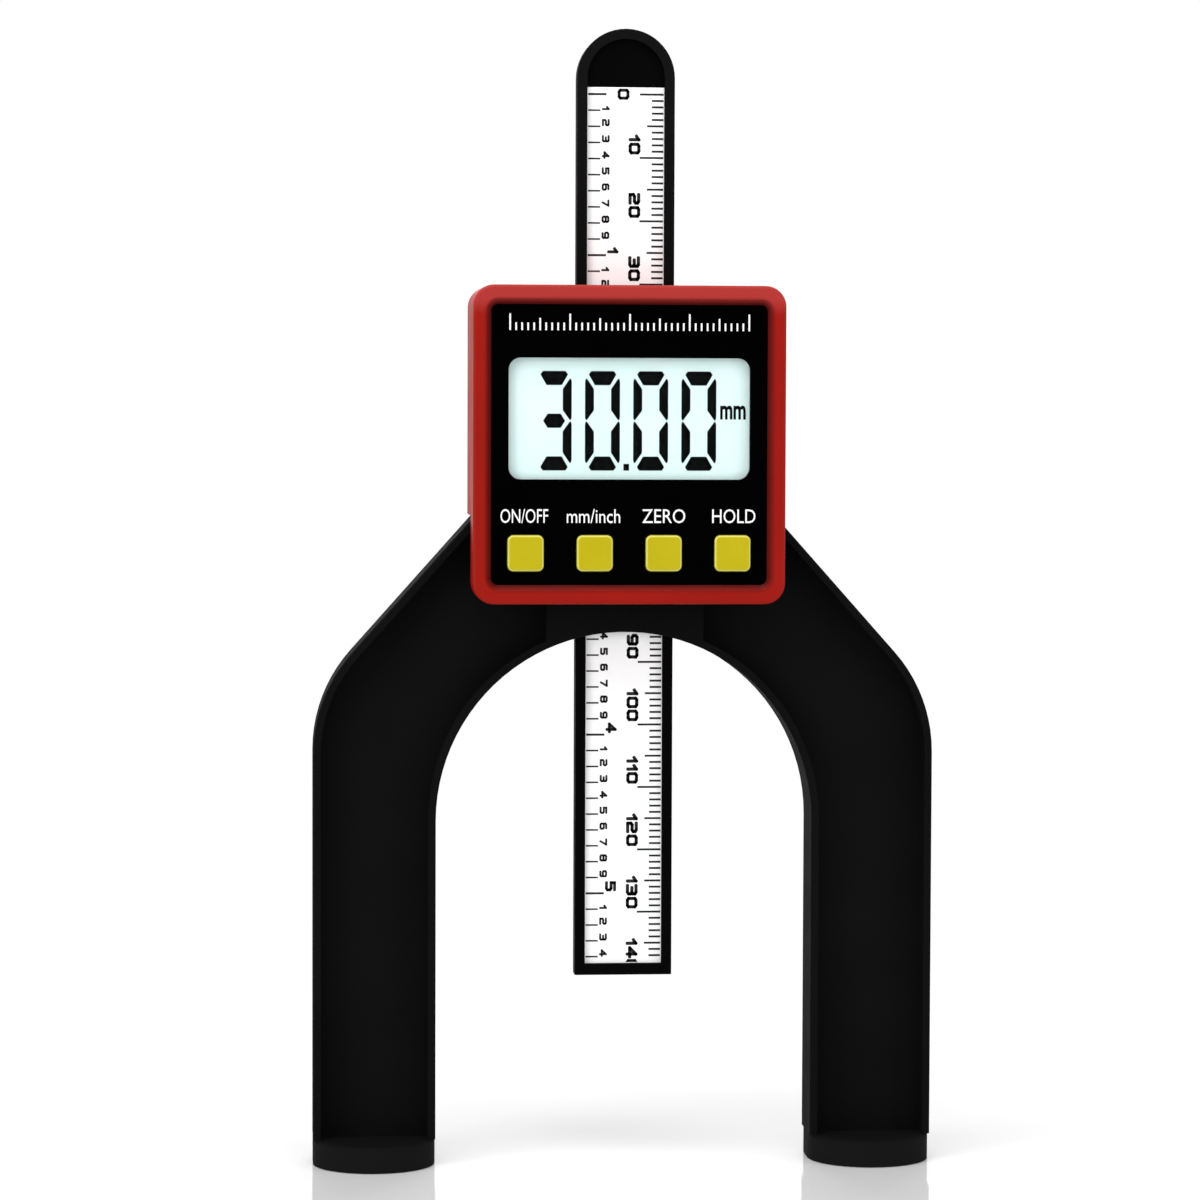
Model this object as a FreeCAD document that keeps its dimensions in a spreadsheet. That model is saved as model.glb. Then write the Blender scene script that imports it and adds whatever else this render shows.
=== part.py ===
import FreeCAD, Part
import math
import os
import re
import Sketcher

# Digital depth gauge: a scale beam slides up and down through the display housing of a two-legged stand.
# Millimetres. X runs to the right, the front faces -Y, Z points up, the soles stand on Z = 0.
# The origin is the middle of the footprint.

# Driving sizes, one spreadsheet row each: alias, value, what it is
SIZES = [
    ("gap_width", 60.0, "clear width between the legs"),
    ("leg_width", 19.4, "width of a leg and of its foot"),
    ("arch_centre", 54.9, "height of the centre of the arch"),
    ("stand_depth", 10.0, "depth of the stand from rim to rim"),
    ("rim_width", 1.2, "width of the raised rims"),
    ("front_recess", 3.6, "depth of the hollow in the front of the stand"),
    ("web_thick", 2.4, "thickness of the web between the hollows"),
    ("shoulder_rise", 12.95, "height of the shoulder's upper end above the display's lower edge"),
    ("shoulder_angle", 48.3, "slope of the shoulder from level, degrees"),
    ("shoulder_radius", 24.0, "radius from the shoulder into the leg"),
    ("stand_edge", 0.35, "rounding of the stand's outer edges"),
    ("foot_height", 4.1, "thickness of a foot"),
    ("foot_depth", 23.4, "length of a foot from front to back"),
    ("foot_edge", 0.6, "rounding of the foot's upper edge"),
    ("magnet_radius", 4.0, "radius of a foot magnet"),
    ("magnet_thick", 3.0, "thickness of a foot magnet"),
    ("magnet_spacing", 10.4, "distance between the two magnets of a foot"),
    ("magnet_inset", 0.1, "depth of the magnets behind the sole"),
    ("bridge_width", 25.0, "width of the block in front of the beam"),
    ("bridge_thick", 1.4, "thickness of the block in front of the beam"),
    ("crown_margin", 4.75, "height of the display's lower edge above the crown of the arch"),
    ("display_width", 49.2, "width of the display case"),
    ("display_height", 50.0, "height of the display case"),
    ("case_depth", 7.5, "how far the display case stands out of the stand"),
    ("case_wall", 2.0, "wall of the display case"),
    ("case_corner", 3.3, "corner radius of the display case"),
    ("case_edge", 0.5, "rounding of the case's front edge"),
    ("bevel_width", 0.85, "width of the bevel round the face panel"),
    ("bevel_depth", 0.95, "depth of the bevel round the face panel"),
    ("skirt_wall", 1.1, "wall of the case where it wraps the stand's box"),
    ("skirt_gap", 0.8, "gap between the shoulder and the skirt's lower end"),
    ("box_wall", 1.8, "wall of the stand's box behind the display"),
    ("fit_gap", 0.1, "clearance between pieces that fit together"),
    ("ring_side", 2.95, "width of the case's ring at the sides of the face panel"),
    ("ring_end", 3.1, "width of the case's ring above and below the face panel"),
    ("panel_corner", 1.0, "corner radius of the face panel"),
    ("panel_inset", 1.0, "depth of the face panel behind the case's front"),
    ("panel_thick", 0.9, "thickness of the face panel"),
    ("plate_thick", 1.2, "thickness of the plate that carries the face panel"),
    ("window_side", 2.65, "width of the face panel beside the window"),
    ("window_over", 8.275, "height of the face panel above the window"),
    ("window_under", 16.475, "height of the face panel below the window"),
    ("window_corner", 1.9, "corner radius of the display window"),
    ("window_inset", 0.2, "depth of the clear window behind the face panel"),
    ("cell_side", 1.5, "reach of the liquid crystal cell past the window's sides"),
    ("cell_end", 1.775, "reach of the liquid crystal cell past the window's ends"),
    ("cell_thick", 2.2, "thickness of the liquid crystal cell"),
    ("holder_rim", 1.0, "width of the holder's rim round the cell"),
    ("zebra_inset", 2.5, "distance of a zebra strip's ends from the sides of the cell"),
    ("zebra_width", 2.0, "width of a zebra strip"),
    ("board_side", 0.6, "room between the main board and the case's side walls"),
    ("board_end", 1.0, "room between the main board and the case's end walls"),
    ("board_notch", 4.0, "corner notches of the main board"),
    ("board_thick", 1.0, "thickness of the main board"),
    ("sensor_side", 0.15, "room at each side of the sensor board in the beam's front"),
    ("sensor_length", 32.0, "length of the sensor board"),
    ("sensor_thick", 0.8, "thickness of the sensor board"),
    ("sensor_gap", 0.2, "air gap between the sensor and the scale"),
    ("header_rise", 1.4, "height of the pin header between the boards"),
    ("header_width", 10.0, "width of the pin header"),
    ("header_depth", 2.0, "depth of the pin header"),
    ("chip_size", 7.0, "side of the controller chip"),
    ("chip_thick", 1.0, "thickness of the controller chip"),
    ("chip_side", 4.5, "distance of the controller chip from the beam's side"),
    ("chip_drop", 6.0, "height of the chip's lower edge below the display's middle"),
    ("button_size", 5.65, "side of a button"),
    ("button_corner", 0.9, "corner radius of a button"),
    ("button_edge", 0.4, "rounding of a button's front edge"),
    ("button_side", 5.345, "distance of the outer buttons' centres from the face panel's sides"),
    ("button_under", 4.9, "height of the buttons' centres above the face panel's lower edge"),
    ("button_rise", 0.6, "how far a button stands out of the face panel"),
    ("button_gap", 0.15, "clearance round a button"),
    ("flange_width", 0.6, "width of a button's flange"),
    ("flange_thick", 0.5, "thickness of a button's flange"),
    ("stem_radius", 1.8, "radius of a button's stem"),
    ("switch_size", 4.6, "side of a key switch"),
    ("switch_height", 2.0, "height of a key switch"),
    ("plunger_radius", 1.5, "radius of a key switch's plunger"),
    ("plunger_rise", 0.7, "how far the plunger stands out of its switch"),
    ("plunger_hidden", 0.9, "length of the plunger inside its switch"),
    ("switch_floor", 0.4, "floor of a key switch"),
    ("screw_side", 3.6, "distance of the case screws from the case's sides"),
    ("screw_end", 4.0, "distance of the case screws from the case's ends"),
    ("boss_radius", 2.2, "radius of the case screws' bosses"),
    ("screw_radius", 0.9, "radius of a case screw's shank"),
    ("screw_head", 1.6, "radius of a case screw's head"),
    ("head_thick", 1.3, "thickness of a case screw's head"),
    ("head_inset", 0.3, "depth of a case screw's head in its hole"),
    ("screw_bite", 2.6, "length of a case screw inside the case"),
    ("pillar_radius", 1.6, "radius of the main board's pillars"),
    ("board_screw", 0.7, "radius of a board screw's shank"),
    ("board_head", 1.4, "radius of a board screw's head"),
    ("board_head_thick", 0.9, "thickness of a board screw's head"),
    ("pillar_side", 10.0, "distance of the upper pillars from the main board's sides"),
    ("beam_length", 150.3, "length of the beam"),
    ("beam_width", 15.5, "width of the beam"),
    ("beam_thick", 3.6, "thickness of the beam"),
    ("beam_tip", 30.0, "height of the beam's lower end at rest"),
    ("beam_edge", 0.3, "rounding of the beam's front edges"),
    ("slide_gap", 0.1, "clearance round the beam in its slot"),
    ("slot_margin", 0.15, "extra room round the beam in the case's top"),
    ("beam_rim", 1.6, "width of the beam's raised rim"),
    ("strip_head", 9.15, "length of the beam above the scale strip"),
    ("strip_foot", 1.75, "solid end of the beam under the scale strip"),
    ("strip_inset", 0.7, "depth of the scale strip behind the beam's front"),
    ("strip_thick", 0.2, "thickness of the printed strip"),
    ("scale_thick", 0.8, "thickness of the scale board"),
    ("travel_down", 30.0, "travel of the beam down to the floor"),
    ("travel_up", 50.0, "travel of the beam up to its stop"),
    ("stop_gap", 0.3, "room past the travel in the beam's groove"),
    ("groove_gap", 0.2, "clearance beside the lock pad in the beam's groove"),
    ("groove_depth", 0.8, "depth of the groove in the beam's back"),
    ("rail_width", 1.6, "width of the rails behind the beam"),
    ("rail_reach", 7.3, "outer edge of the rails behind the beam"),
    ("rib_thick", 1.5, "thickness of the ribs beside the beam"),
    ("rib_length", 9.0, "length of the ribs beside the beam"),
    ("rib_front", 0.5, "how far the ribs stay behind the beam's front"),
    ("spring_length", 20.0, "length of the drag spring"),
    ("spring_bow", 2.1, "bow of the drag spring"),
    ("spring_thick", 0.25, "thickness of the drag spring"),
    ("spring_width", 3.0, "width of the drag spring"),
    ("spring_gap", 0.05, "clearance at each side of the drag spring"),
    ("lock_drop", 15.0, "height of the lock screw below the display's middle"),
    ("pad_radius", 1.5, "radius of the lock pad"),
    ("pad_clear", 0.5, "room between the lock pad and the groove's floor"),
    ("pad_length", 2.4, "length of the lock pad"),
    ("lock_boss", 4.0, "radius of the lock screw's boss"),
    ("insert_radius", 2.6, "radius of the threaded insert"),
    ("insert_length", 2.7, "length of the threaded insert"),
    ("lock_shank", 1.4, "radius of the lock screw"),
    ("turn_gap", 0.05, "clearance round the lock screw"),
    ("knob_radius", 6.25, "radius of the lock knob"),
    ("knob_gap", 0.6, "room between the knob and the stand"),
    ("knob_end", 12.5, "distance of the knob's face behind the middle"),
    ("knob_neck", 4.2, "radius of the knob's collar"),
    ("knob_collar", 1.4, "length of the knob's collar"),
    ("knob_edge", 0.6, "bevel of the knob's edges"),
    ("flute_count", 16, "number of flutes round the knob"),
    ("flute_radius", 0.7, "radius of the flutes round the knob"),
    ("knob_dish", 0.8, "depth of the dish in the knob's face"),
    ("knob_rim", 1.5, "rim round the dish in the knob's face"),
    ("battery_inset", 9.4, "distance of the battery's centre from the case's side"),
    ("battery_rise", 3.0, "height of the battery above the display's middle"),
    ("battery_radius", 5.8, "radius of the button cell"),
    ("battery_thick", 5.4, "thickness of the button cell"),
    ("terminal_radius", 4.7, "radius of the cell's negative face"),
    ("terminal_thick", 0.85, "height of the cell's negative face"),
    ("battery_gap", 0.15, "clearance round the cell"),
    ("cup_wall", 2.05, "wall of the battery cup"),
    ("cap_radius", 6.9, "radius of the battery cap"),
    ("cap_thick", 1.2, "thickness of the battery cap's disc"),
    ("plug_radius", 6.1, "radius of the battery cap's plug"),
    ("plug_length", 1.35, "length of the battery cap's plug"),
    ("lug_width", 3.0, "width of the battery cap's lugs"),
    ("lug_thick", 0.65, "thickness of the battery cap's lugs"),
    ("lug_turn", 60.0, "turn of the battery cap between shut and free, degrees"),
    ("coin_length", 9.5, "length of the coin slot"),
    ("coin_width", 1.6, "width of the coin slot"),
    ("coin_depth", 0.7, "depth of the coin slot"),
    ("contact_thick", 0.25, "thickness of the battery contacts"),
    ("contact_width", 3.0, "width of the battery contacts"),
    ("contact_reach", 3.4, "length of the positive contact beside the cell"),
    ("leaf_root", 3.8, "distance of the negative contact's fold from the cell's middle"),
    ("leaf_foot", 3.4, "length of the negative contact on the main board"),
    ("leaf_bend", 1.2, "distance of the negative contact's bend past the cell's middle"),
    ("leaf_tip", 3.2, "distance of the negative contact's tip past the cell's middle"),
]

# Sizes that follow from the driving sizes
DERIVED = {
    "outer_half": "(gap_width / 2 + leg_width)",
    "leg_middle": "(gap_width / 2 + leg_width / 2)",
    "stand_front": "(-stand_depth / 2)",
    "stand_rear": "(stand_depth / 2)",
    "slope": "tan(shoulder_angle * 1 deg)",
    "slant": "cos(shoulder_angle * 1 deg)",
    "foot_spread": "((foot_depth - leg_width) / 2)",
    "hollow_side": "(outer_half - rim_width)",
    "hollow_shoulder": "(shoulder_outer + rim_width * slope - rim_width / slant)",
    "hollow_ridge": "(hollow_shoulder + (hollow_side - box_half / 2) * slope)",
    "display_half": "(display_width / 2)",
    "display_base": "(arch_centre + gap_width / 2 + crown_margin)",
    "shoulder_height": "(display_base + shoulder_rise)",
    "display_top": "(display_base + display_height)",
    "display_middle": "(display_base + display_height / 2)",
    "box_half": "(display_half - skirt_wall - fit_gap)",
    "box_top": "(display_top - skirt_wall - fit_gap)",
    "box_base": "(display_base + skirt_wall + fit_gap)",
    "box_corner": "(case_corner - skirt_wall - fit_gap)",
    "shoulder_inner": "(shoulder_height + (display_half - box_half) * slope)",
    "shoulder_outer": "(shoulder_height - (outer_half - display_half) * slope)",
    "room_half": "(box_half - box_wall)",
    "room_base": "(box_base + box_wall)",
    "room_top": "(box_top - box_wall)",
    "room_rear": "(stand_rear - box_wall)",
    "case_front": "(stand_front - case_depth)",
    "panel_front": "(case_front + panel_inset)",
    "panel_rear": "(panel_front + panel_thick)",
    "plate_rear": "(panel_rear + plate_thick)",
    "panel_width": "(display_width - 2 * ring_side)",
    "panel_height": "(display_height - 2 * ring_end)",
    "window_width": "(panel_width - 2 * window_side)",
    "window_height": "(panel_height - window_over - window_under)",
    "window_middle": "(display_middle + (window_under - window_over) / 2)",
    "cell_width": "(window_width + 2 * cell_side)",
    "cell_height": "(window_height + 2 * cell_end)",
    "zebra_half": "(cell_width / 2 - zebra_inset)",
    "board_half": "(display_half - case_wall - board_side)",
    "board_reach": "(display_height / 2 - case_wall - board_end)",
    "cell_front": "(panel_rear + fit_gap)",
    "cell_rear": "(cell_front + cell_thick)",
    "beam_front": "(stand_front + bridge_thick + slide_gap)",
    "beam_rear": "(beam_front + beam_thick)",
    "strip_front": "(beam_front + strip_inset)",
    "scale_front": "(strip_front + strip_thick)",
    "scale_rear": "(scale_front + scale_thick)",
    "strip_base": "(beam_tip + strip_foot)",
    "beam_half": "(beam_width / 2)",
    "strip_half": "(beam_half - beam_rim)",
    "strip_length": "(beam_length - strip_foot - strip_head)",
    "beam_round": "(beam_tip + beam_length - beam_half)",
    "sensor_rear": "(strip_front - sensor_gap)",
    "sensor_front": "(sensor_rear - sensor_thick)",
    "board_rear": "(sensor_front - header_rise)",
    "board_front": "(board_rear - board_thick)",
    "sensor_half": "(strip_half - sensor_side)",
    "sensor_top": "(room_top - 2 * fit_gap - board_screw)",
    "button_height": "(display_middle - panel_height / 2 + button_under)",
    "button_pitch": "((panel_width - 2 * button_side) / 3)",
    "button_front": "(panel_front - button_rise)",
    "flange_front": "(panel_rear + fit_gap / 2)",
    "flange_rear": "(flange_front + flange_thick)",
    "flange_half": "(button_size / 2 + flange_width)",
    "switch_front": "(board_front - switch_height)",
    "plunger_front": "(switch_front - plunger_rise)",
    "screw_half": "(display_half - screw_side)",
    "screw_reach": "(display_height / 2 - screw_end)",
    "pillar_upper": "(board_half - pillar_side)",
    "pillar_top": "(display_middle + board_reach - board_screw - pillar_radius)",
    "pillar_base": "(button_height + flange_half + button_gap + pillar_radius + 2 * fit_gap)",
    "groove_floor": "(beam_rear - groove_depth)",
    "pad_front": "(groove_floor + pad_clear)",
    "pad_rear": "(pad_front + pad_length)",
    "knob_front": "(stand_rear + knob_gap)",
    "rail_front": "(beam_rear + slide_gap)",
    "rib_inner": "(beam_half + slide_gap)",
    "spring_face": "(beam_half + spring_gap)",
    "spring_back": "(spring_face + spring_bow + spring_thick + spring_gap)",
    "spring_middle": "(display_middle)",
    "lock_height": "(display_middle - lock_drop)",
    "battery_side": "(display_half - battery_inset)",
    "battery_height": "(display_middle + battery_rise)",
    "cap_front": "(stand_rear - cap_thick)",
    "plug_front": "(cap_front - plug_length)",
    "lug_rear": "(plug_front + lug_thick)",
    "battery_rear": "(plug_front - fit_gap / 2)",
    "battery_front": "(battery_rear - battery_thick)",
    "cup_front": "(battery_front + terminal_thick)",
    "cup_radius": "(battery_radius + battery_gap + cup_wall)",
}

document = FreeCAD.newDocument("depth_gauge")
sheet = document.addObject("Spreadsheet::Sheet", "Sizes")
for row, (alias, value, note) in enumerate(SIZES, start=1):
    sheet.set("A%d" % row, note)
    sheet.set("B%d" % row, str(value))
    sheet.setAlias("B%d" % row, alias)
document.recompute()

PARTS = []
# Cross slot of a screw: its reach and width as shares of the head's radius, its depth of the head's thickness
CROSS_SLOT = (0.55, 0.3, 0.5)
# Distance within which two places count as one
NEAR = 0.001
WORD = re.compile(r"[a-z]+(?:_[a-z]+)+|slope|slant")
DRIVING = {alias for alias, value, note in SIZES}


def formula(text):
    """Expression in the spreadsheet's cells for a formula in plain names."""
    def expand(match):
        word = match.group(0)
        if word in DERIVED:
            return formula(DERIVED[word])
        return "Sizes." + word if word in DRIVING else word
    return WORD.sub(expand, str(text))


def number(text):
    """Present value of a formula."""
    return float(sheet.evalExpression(formula(text)))


def place(x, y):
    """Point of a sketch for two formulas."""
    return FreeCAD.Vector(number(x), number(y), 0)


def new_body(name):
    """Empty body that becomes a part of the gauge."""
    body = document.addObject("PartDesign::Body", name)
    body.Label = name
    PARTS.append(body)
    return body


def new_sketch(body, name, plane_role, offset):
    """Sketch on a plane of the body's origin, moved along the plane's normal."""
    sketch = body.newObject("Sketcher::SketchObject", name)
    plane = next(item for item in body.Origin.OriginFeatures if item.Role == plane_role)
    sketch.AttachmentSupport = [(plane, "")]
    sketch.MapMode = "FlatFace"
    sketch.setExpression("AttachmentOffset.Base.z", formula(offset))
    return sketch


def bind(sketch, kind, references, text):
    """Size constraint that follows a formula."""
    index = sketch.addConstraint(Sketcher.Constraint(kind, *references, number(text)))
    sketch.setExpression("Constraints[%d]" % index, formula(text))


def pin(sketch, geometry, position, x, y):
    """Hold a point of the sketch at two formulas from the origin."""
    bind(sketch, "DistanceX", (-1, 1, geometry, position), x)
    bind(sketch, "DistanceY", (-1, 1, geometry, position), y)


def circle(sketch, x, y, radius):
    """Full circle."""
    round_line = Part.Circle(place(x, y), FreeCAD.Vector(0, 0, 1), number(radius))
    geometry = sketch.addGeometry(round_line, False)
    pin(sketch, geometry, 3, x, y)
    bind(sketch, "Radius", (geometry,), radius)


def outline(sketch, corners):
    """Closed outline, anticlockwise. A corner is (x, y) or (x, y, radius) and may turn inwards."""
    count = len(corners)
    points = [place(corner[0], corner[1]) for corner in corners]
    radii = [number(corner[2]) if len(corner) > 2 else 0.0 for corner in corners]
    before, after, centres, left_turn = [], [], [], []
    for index in range(count):
        back = (points[index - 1] - points[index]).normalize()
        ahead = (points[(index + 1) % count] - points[index]).normalize()
        half = back.getAngle(ahead) / 2
        before.append(points[index] + back * (radii[index] / math.tan(half)))
        after.append(points[index] + ahead * (radii[index] / math.tan(half)))
        middle = (back + ahead).normalize() if radii[index] else back
        centres.append(points[index] + middle * (radii[index] / math.sin(half)))
        left_turn.append(back.cross(ahead).z < 0)
    lines = []
    for index in range(count):
        segment = Part.LineSegment(after[index], before[(index + 1) % count])
        lines.append(sketch.addGeometry(segment, False))
    for index, corner in enumerate(corners):
        line_in, line_out = lines[index - 1], lines[index]
        if not radii[index]:
            sketch.addConstraint(Sketcher.Constraint("Coincident", line_in, 2, line_out, 1))
            pin(sketch, line_out, 1, corner[0], corner[1])
            continue
        tip = sketch.addGeometry(Part.Point(points[index]), True)
        pin(sketch, tip, 1, corner[0], corner[1])
        ends = [before[index], after[index]] if left_turn[index] else [after[index], before[index]]
        angles = [math.atan2(end.y - centres[index].y, end.x - centres[index].x) for end in ends]
        round_line = Part.Circle(centres[index], FreeCAD.Vector(0, 0, 1), radii[index])
        arc = sketch.addGeometry(Part.ArcOfCircle(round_line, angles[0], angles[1]), False)
        start, end = (1, 2) if left_turn[index] else (2, 1)
        sketch.addConstraint(Sketcher.Constraint("Tangent", line_in, 2, arc, start))
        sketch.addConstraint(Sketcher.Constraint("Tangent", line_out, 1, arc, end))
        sketch.addConstraint(Sketcher.Constraint("PointOnObject", tip, 1, line_in))
        sketch.addConstraint(Sketcher.Constraint("PointOnObject", tip, 1, line_out))
        bind(sketch, "Radius", (arc,), corner[2])


def rectangle(sketch, left, right, low, high, radius=None):
    """Rectangle between four formulas, with one radius at its corners."""
    rounding = (radius,) if radius else ()
    corners = [(left, low), (right, low), (right, high), (left, high)]
    outline(sketch, [corner + rounding for corner in corners])


def stadium(sketch, x, y, radius, spread, upright=True):
    """Slot outline: two half circles, each its spread away from the middle, joined by two lines."""
    centre, size, reach = place(x, y), number(radius), number(spread)
    along = FreeCAD.Vector(0, 1, 0) if upright else FreeCAD.Vector(1, 0, 0)
    side = FreeCAD.Vector(1, 0, 0) if upright else FreeCAD.Vector(0, -1, 0)
    start = 0.0 if upright else -math.pi / 2
    up = FreeCAD.Vector(0, 0, 1)
    half_turn, full_turn = start + math.pi, start + 2 * math.pi
    far = Part.ArcOfCircle(Part.Circle(centre + along * reach, up, size), start, half_turn)
    near = Part.ArcOfCircle(Part.Circle(centre - along * reach, up, size), half_turn, full_turn)
    far_arc = sketch.addGeometry(far, False)
    left = Part.LineSegment(centre + along * reach - side * size, centre - along * reach - side * size)
    left_line = sketch.addGeometry(left, False)
    near_arc = sketch.addGeometry(near, False)
    right = Part.LineSegment(centre - along * reach + side * size, centre + along * reach + side * size)
    right_line = sketch.addGeometry(right, False)
    chain = [far_arc, left_line, near_arc, right_line]
    for index, geometry in enumerate(chain):
        following = chain[(index + 1) % 4]
        sketch.addConstraint(Sketcher.Constraint("Tangent", geometry, 2, following, 1))
    move = ("0", spread) if upright else (spread, "0")
    pin(sketch, far_arc, 3, "%s + %s" % (x, move[0]), "%s + %s" % (y, move[1]))
    pin(sketch, near_arc, 3, "%s - %s" % (x, move[0]), "%s - %s" % (y, move[1]))
    bind(sketch, "Radius", (far_arc,), radius)
    bind(sketch, "Radius", (near_arc,), radius)


def round_topped(sketch, half, low, spring):
    """Upright outline with a level lower end and a half circle on top."""
    size, base, height = number(half), number(low), number(spring)
    corners = [FreeCAD.Vector(-size, base, 0), FreeCAD.Vector(size, base, 0)]
    shoulders = [FreeCAD.Vector(size, height, 0), FreeCAD.Vector(-size, height, 0)]
    sill = sketch.addGeometry(Part.LineSegment(corners[0], corners[1]), False)
    right = sketch.addGeometry(Part.LineSegment(corners[1], shoulders[0]), False)
    crown = Part.Circle(FreeCAD.Vector(0, height, 0), FreeCAD.Vector(0, 0, 1), size)
    arc = sketch.addGeometry(Part.ArcOfCircle(crown, 0, math.pi), False)
    left = sketch.addGeometry(Part.LineSegment(shoulders[1], corners[0]), False)
    sketch.addConstraint(Sketcher.Constraint("Coincident", sill, 2, right, 1))
    sketch.addConstraint(Sketcher.Constraint("Tangent", right, 2, arc, 1))
    sketch.addConstraint(Sketcher.Constraint("Tangent", arc, 2, left, 1))
    sketch.addConstraint(Sketcher.Constraint("Coincident", left, 2, sill, 1))
    sketch.addConstraint(Sketcher.Constraint("Vertical", right))
    sketch.addConstraint(Sketcher.Constraint("Vertical", left))
    sketch.addConstraint(Sketcher.Constraint("Horizontal", sill))
    bind(sketch, "DistanceY", (-1, 1, sill, 1), low)
    bind(sketch, "Radius", (arc,), half)
    pin(sketch, arc, 3, "0", spring)


def pad(sketch, length):
    """Material from the sketch along its normal."""
    body = sketch.getParentGeoFeatureGroup()
    feature = body.newObject("PartDesign::Pad", sketch.Name + "_pad")
    feature.Profile = sketch
    feature.Refine = False
    feature.setExpression("Length", formula(length))
    return feature


def pocket(sketch, length):
    """Cut from the sketch against its normal."""
    body = sketch.getParentGeoFeatureGroup()
    feature = body.newObject("PartDesign::Pocket", sketch.Name + "_pocket")
    feature.Profile = sketch
    feature.Refine = False
    feature.setExpression("Length", formula(length))
    return feature


def add_upright(body, name, front, rear, draw):
    """Material between two depths, drawn in the XZ plane."""
    sketch = new_sketch(body, name, "XZ_Plane", "-(%s)" % rear)
    draw(sketch)
    return pad(sketch, "%s - (%s)" % (rear, front))


def cut_upright(body, name, front, rear, draw):
    """Cut between two depths, drawn in the XZ plane."""
    sketch = new_sketch(body, name, "XZ_Plane", "-(%s)" % front)
    draw(sketch)
    return pocket(sketch, "%s - (%s)" % (rear, front))


def add_level(body, name, low, high, draw):
    """Material between two heights, drawn in the XY plane."""
    sketch = new_sketch(body, name, "XY_Plane", low)
    draw(sketch)
    return pad(sketch, "%s - (%s)" % (high, low))


def cut_level(body, name, low, high, draw):
    """Cut between two heights, drawn in the XY plane."""
    sketch = new_sketch(body, name, "XY_Plane", high)
    draw(sketch)
    return pocket(sketch, "%s - (%s)" % (high, low))


def dress(body, kind, name, chosen):
    """Fillet or chamfer feature on the edges of the body that a test picks."""
    document.recompute()
    tip = body.Tip
    picked = ["Edge%d" % (index + 1) for index, edge in enumerate(tip.Shape.Edges) if chosen(edge)]
    feature = body.newObject("PartDesign::" + kind, name)
    feature.Base = (tip, picked)
    return feature


def round_edges(body, name, radius, chosen):
    """Rounding of one radius on the picked edges."""
    dress(body, "Fillet", name, chosen).setExpression("Radius", formula(radius))


def lies_at_depth(edge, depth):
    """The whole edge lies at one depth."""
    box = edge.BoundBox
    return abs(box.YMin - depth) < NEAR and abs(box.YMax - depth) < NEAR


def lies_at_height(edge, height):
    """The whole edge lies at one height."""
    box = edge.BoundBox
    return abs(box.ZMin - height) < NEAR and abs(box.ZMax - height) < NEAR


def stand_outline(sketch):
    """Outer edge of the stand: legs, rounded shoulders and the box behind the display."""
    outline(sketch, [
        ("-outer_half", "foot_height"),
        ("outer_half", "foot_height"),
        ("outer_half", "shoulder_outer", "shoulder_radius"),
        ("box_half", "shoulder_inner"),
        ("box_half", "box_top", "box_corner"),
        ("-box_half", "box_top", "box_corner"),
        ("-box_half", "shoulder_inner"),
        ("-outer_half", "shoulder_outer", "shoulder_radius"),
    ])


def hollow_outline(sketch):
    """Inner edge of the raised rim, from the feet up into the box behind the display."""
    outline(sketch, [
        ("-hollow_side", "foot_height"),
        ("hollow_side", "foot_height"),
        ("hollow_side", "hollow_shoulder", "shoulder_radius - rim_width"),
        ("box_half / 2", "hollow_ridge"),
        ("-box_half / 2", "hollow_ridge"),
        ("-hollow_side", "hollow_shoulder", "shoulder_radius - rim_width"),
    ])


def screw_places():
    """The four case screws, as (x, z) formulas."""
    upper, lower = "display_middle + screw_reach", "display_middle - screw_reach"
    return [(x, z) for x in ("screw_half", "-screw_half") for z in (upper, lower)]


def circles(sketch, places, radius):
    """Equal circles at several places."""
    for x, y in places:
        circle(sketch, x, y, radius)


def rectangles(sketch, boxes):
    """Separate rectangles, each (left, right, low, high)."""
    for box in boxes:
        rectangle(sketch, *box)


def lug_entry_outline(sketch):
    """Slot across the battery cap's bore that lets the two lugs in."""
    reach, half = "(cap_radius + fit_gap)", "(lug_width / 2 + fit_gap)"
    rectangle(sketch, "-" + reach, reach, "-" + half, half)


def stand_inside(body):
    """Bosses, rails, ribs and the battery cup that stand on the rear wall of the box."""
    add_upright(body, "screw_bosses", "stand_front", "room_rear",
                lambda sketch: circles(sketch, screw_places(), "boss_radius"))
    add_upright(body, "beam_rails", "rail_front", "room_rear", lambda sketch: rectangles(sketch, [
        ("rail_reach - rail_width", "rail_reach", "room_base", "room_top"),
        ("-rail_reach", "rail_width - rail_reach", "room_base", "room_top"),
    ]))
    add_upright(body, "lock_post", "rail_front", "room_rear",
                lambda sketch: circle(sketch, "0", "lock_height", "lock_boss"))
    add_upright(body, "beam_ribs", "beam_front + rib_front", "room_rear", lambda sketch: rectangles(sketch, [
        ("rib_inner", "rib_inner + rib_thick", "room_top - rib_length", "room_top"),
        ("rib_inner", "rib_inner + rib_thick", "room_base", "room_base + rib_length"),
        ("-rib_inner - rib_thick", "-rib_inner", "room_top - rib_length", "room_top"),
        ("-rib_inner - rib_thick", "-rib_inner", "room_base", "room_base + rib_length"),
        ("-spring_back - rib_thick", "-spring_back",
         "spring_middle - spring_length / 2 - rib_thick", "spring_middle + spring_length / 2 + rib_thick"),
    ]))
    add_upright(body, "battery_cup", "cup_front", "room_rear",
                lambda sketch: circle(sketch, "battery_side", "battery_height", "cup_radius"))


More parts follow.
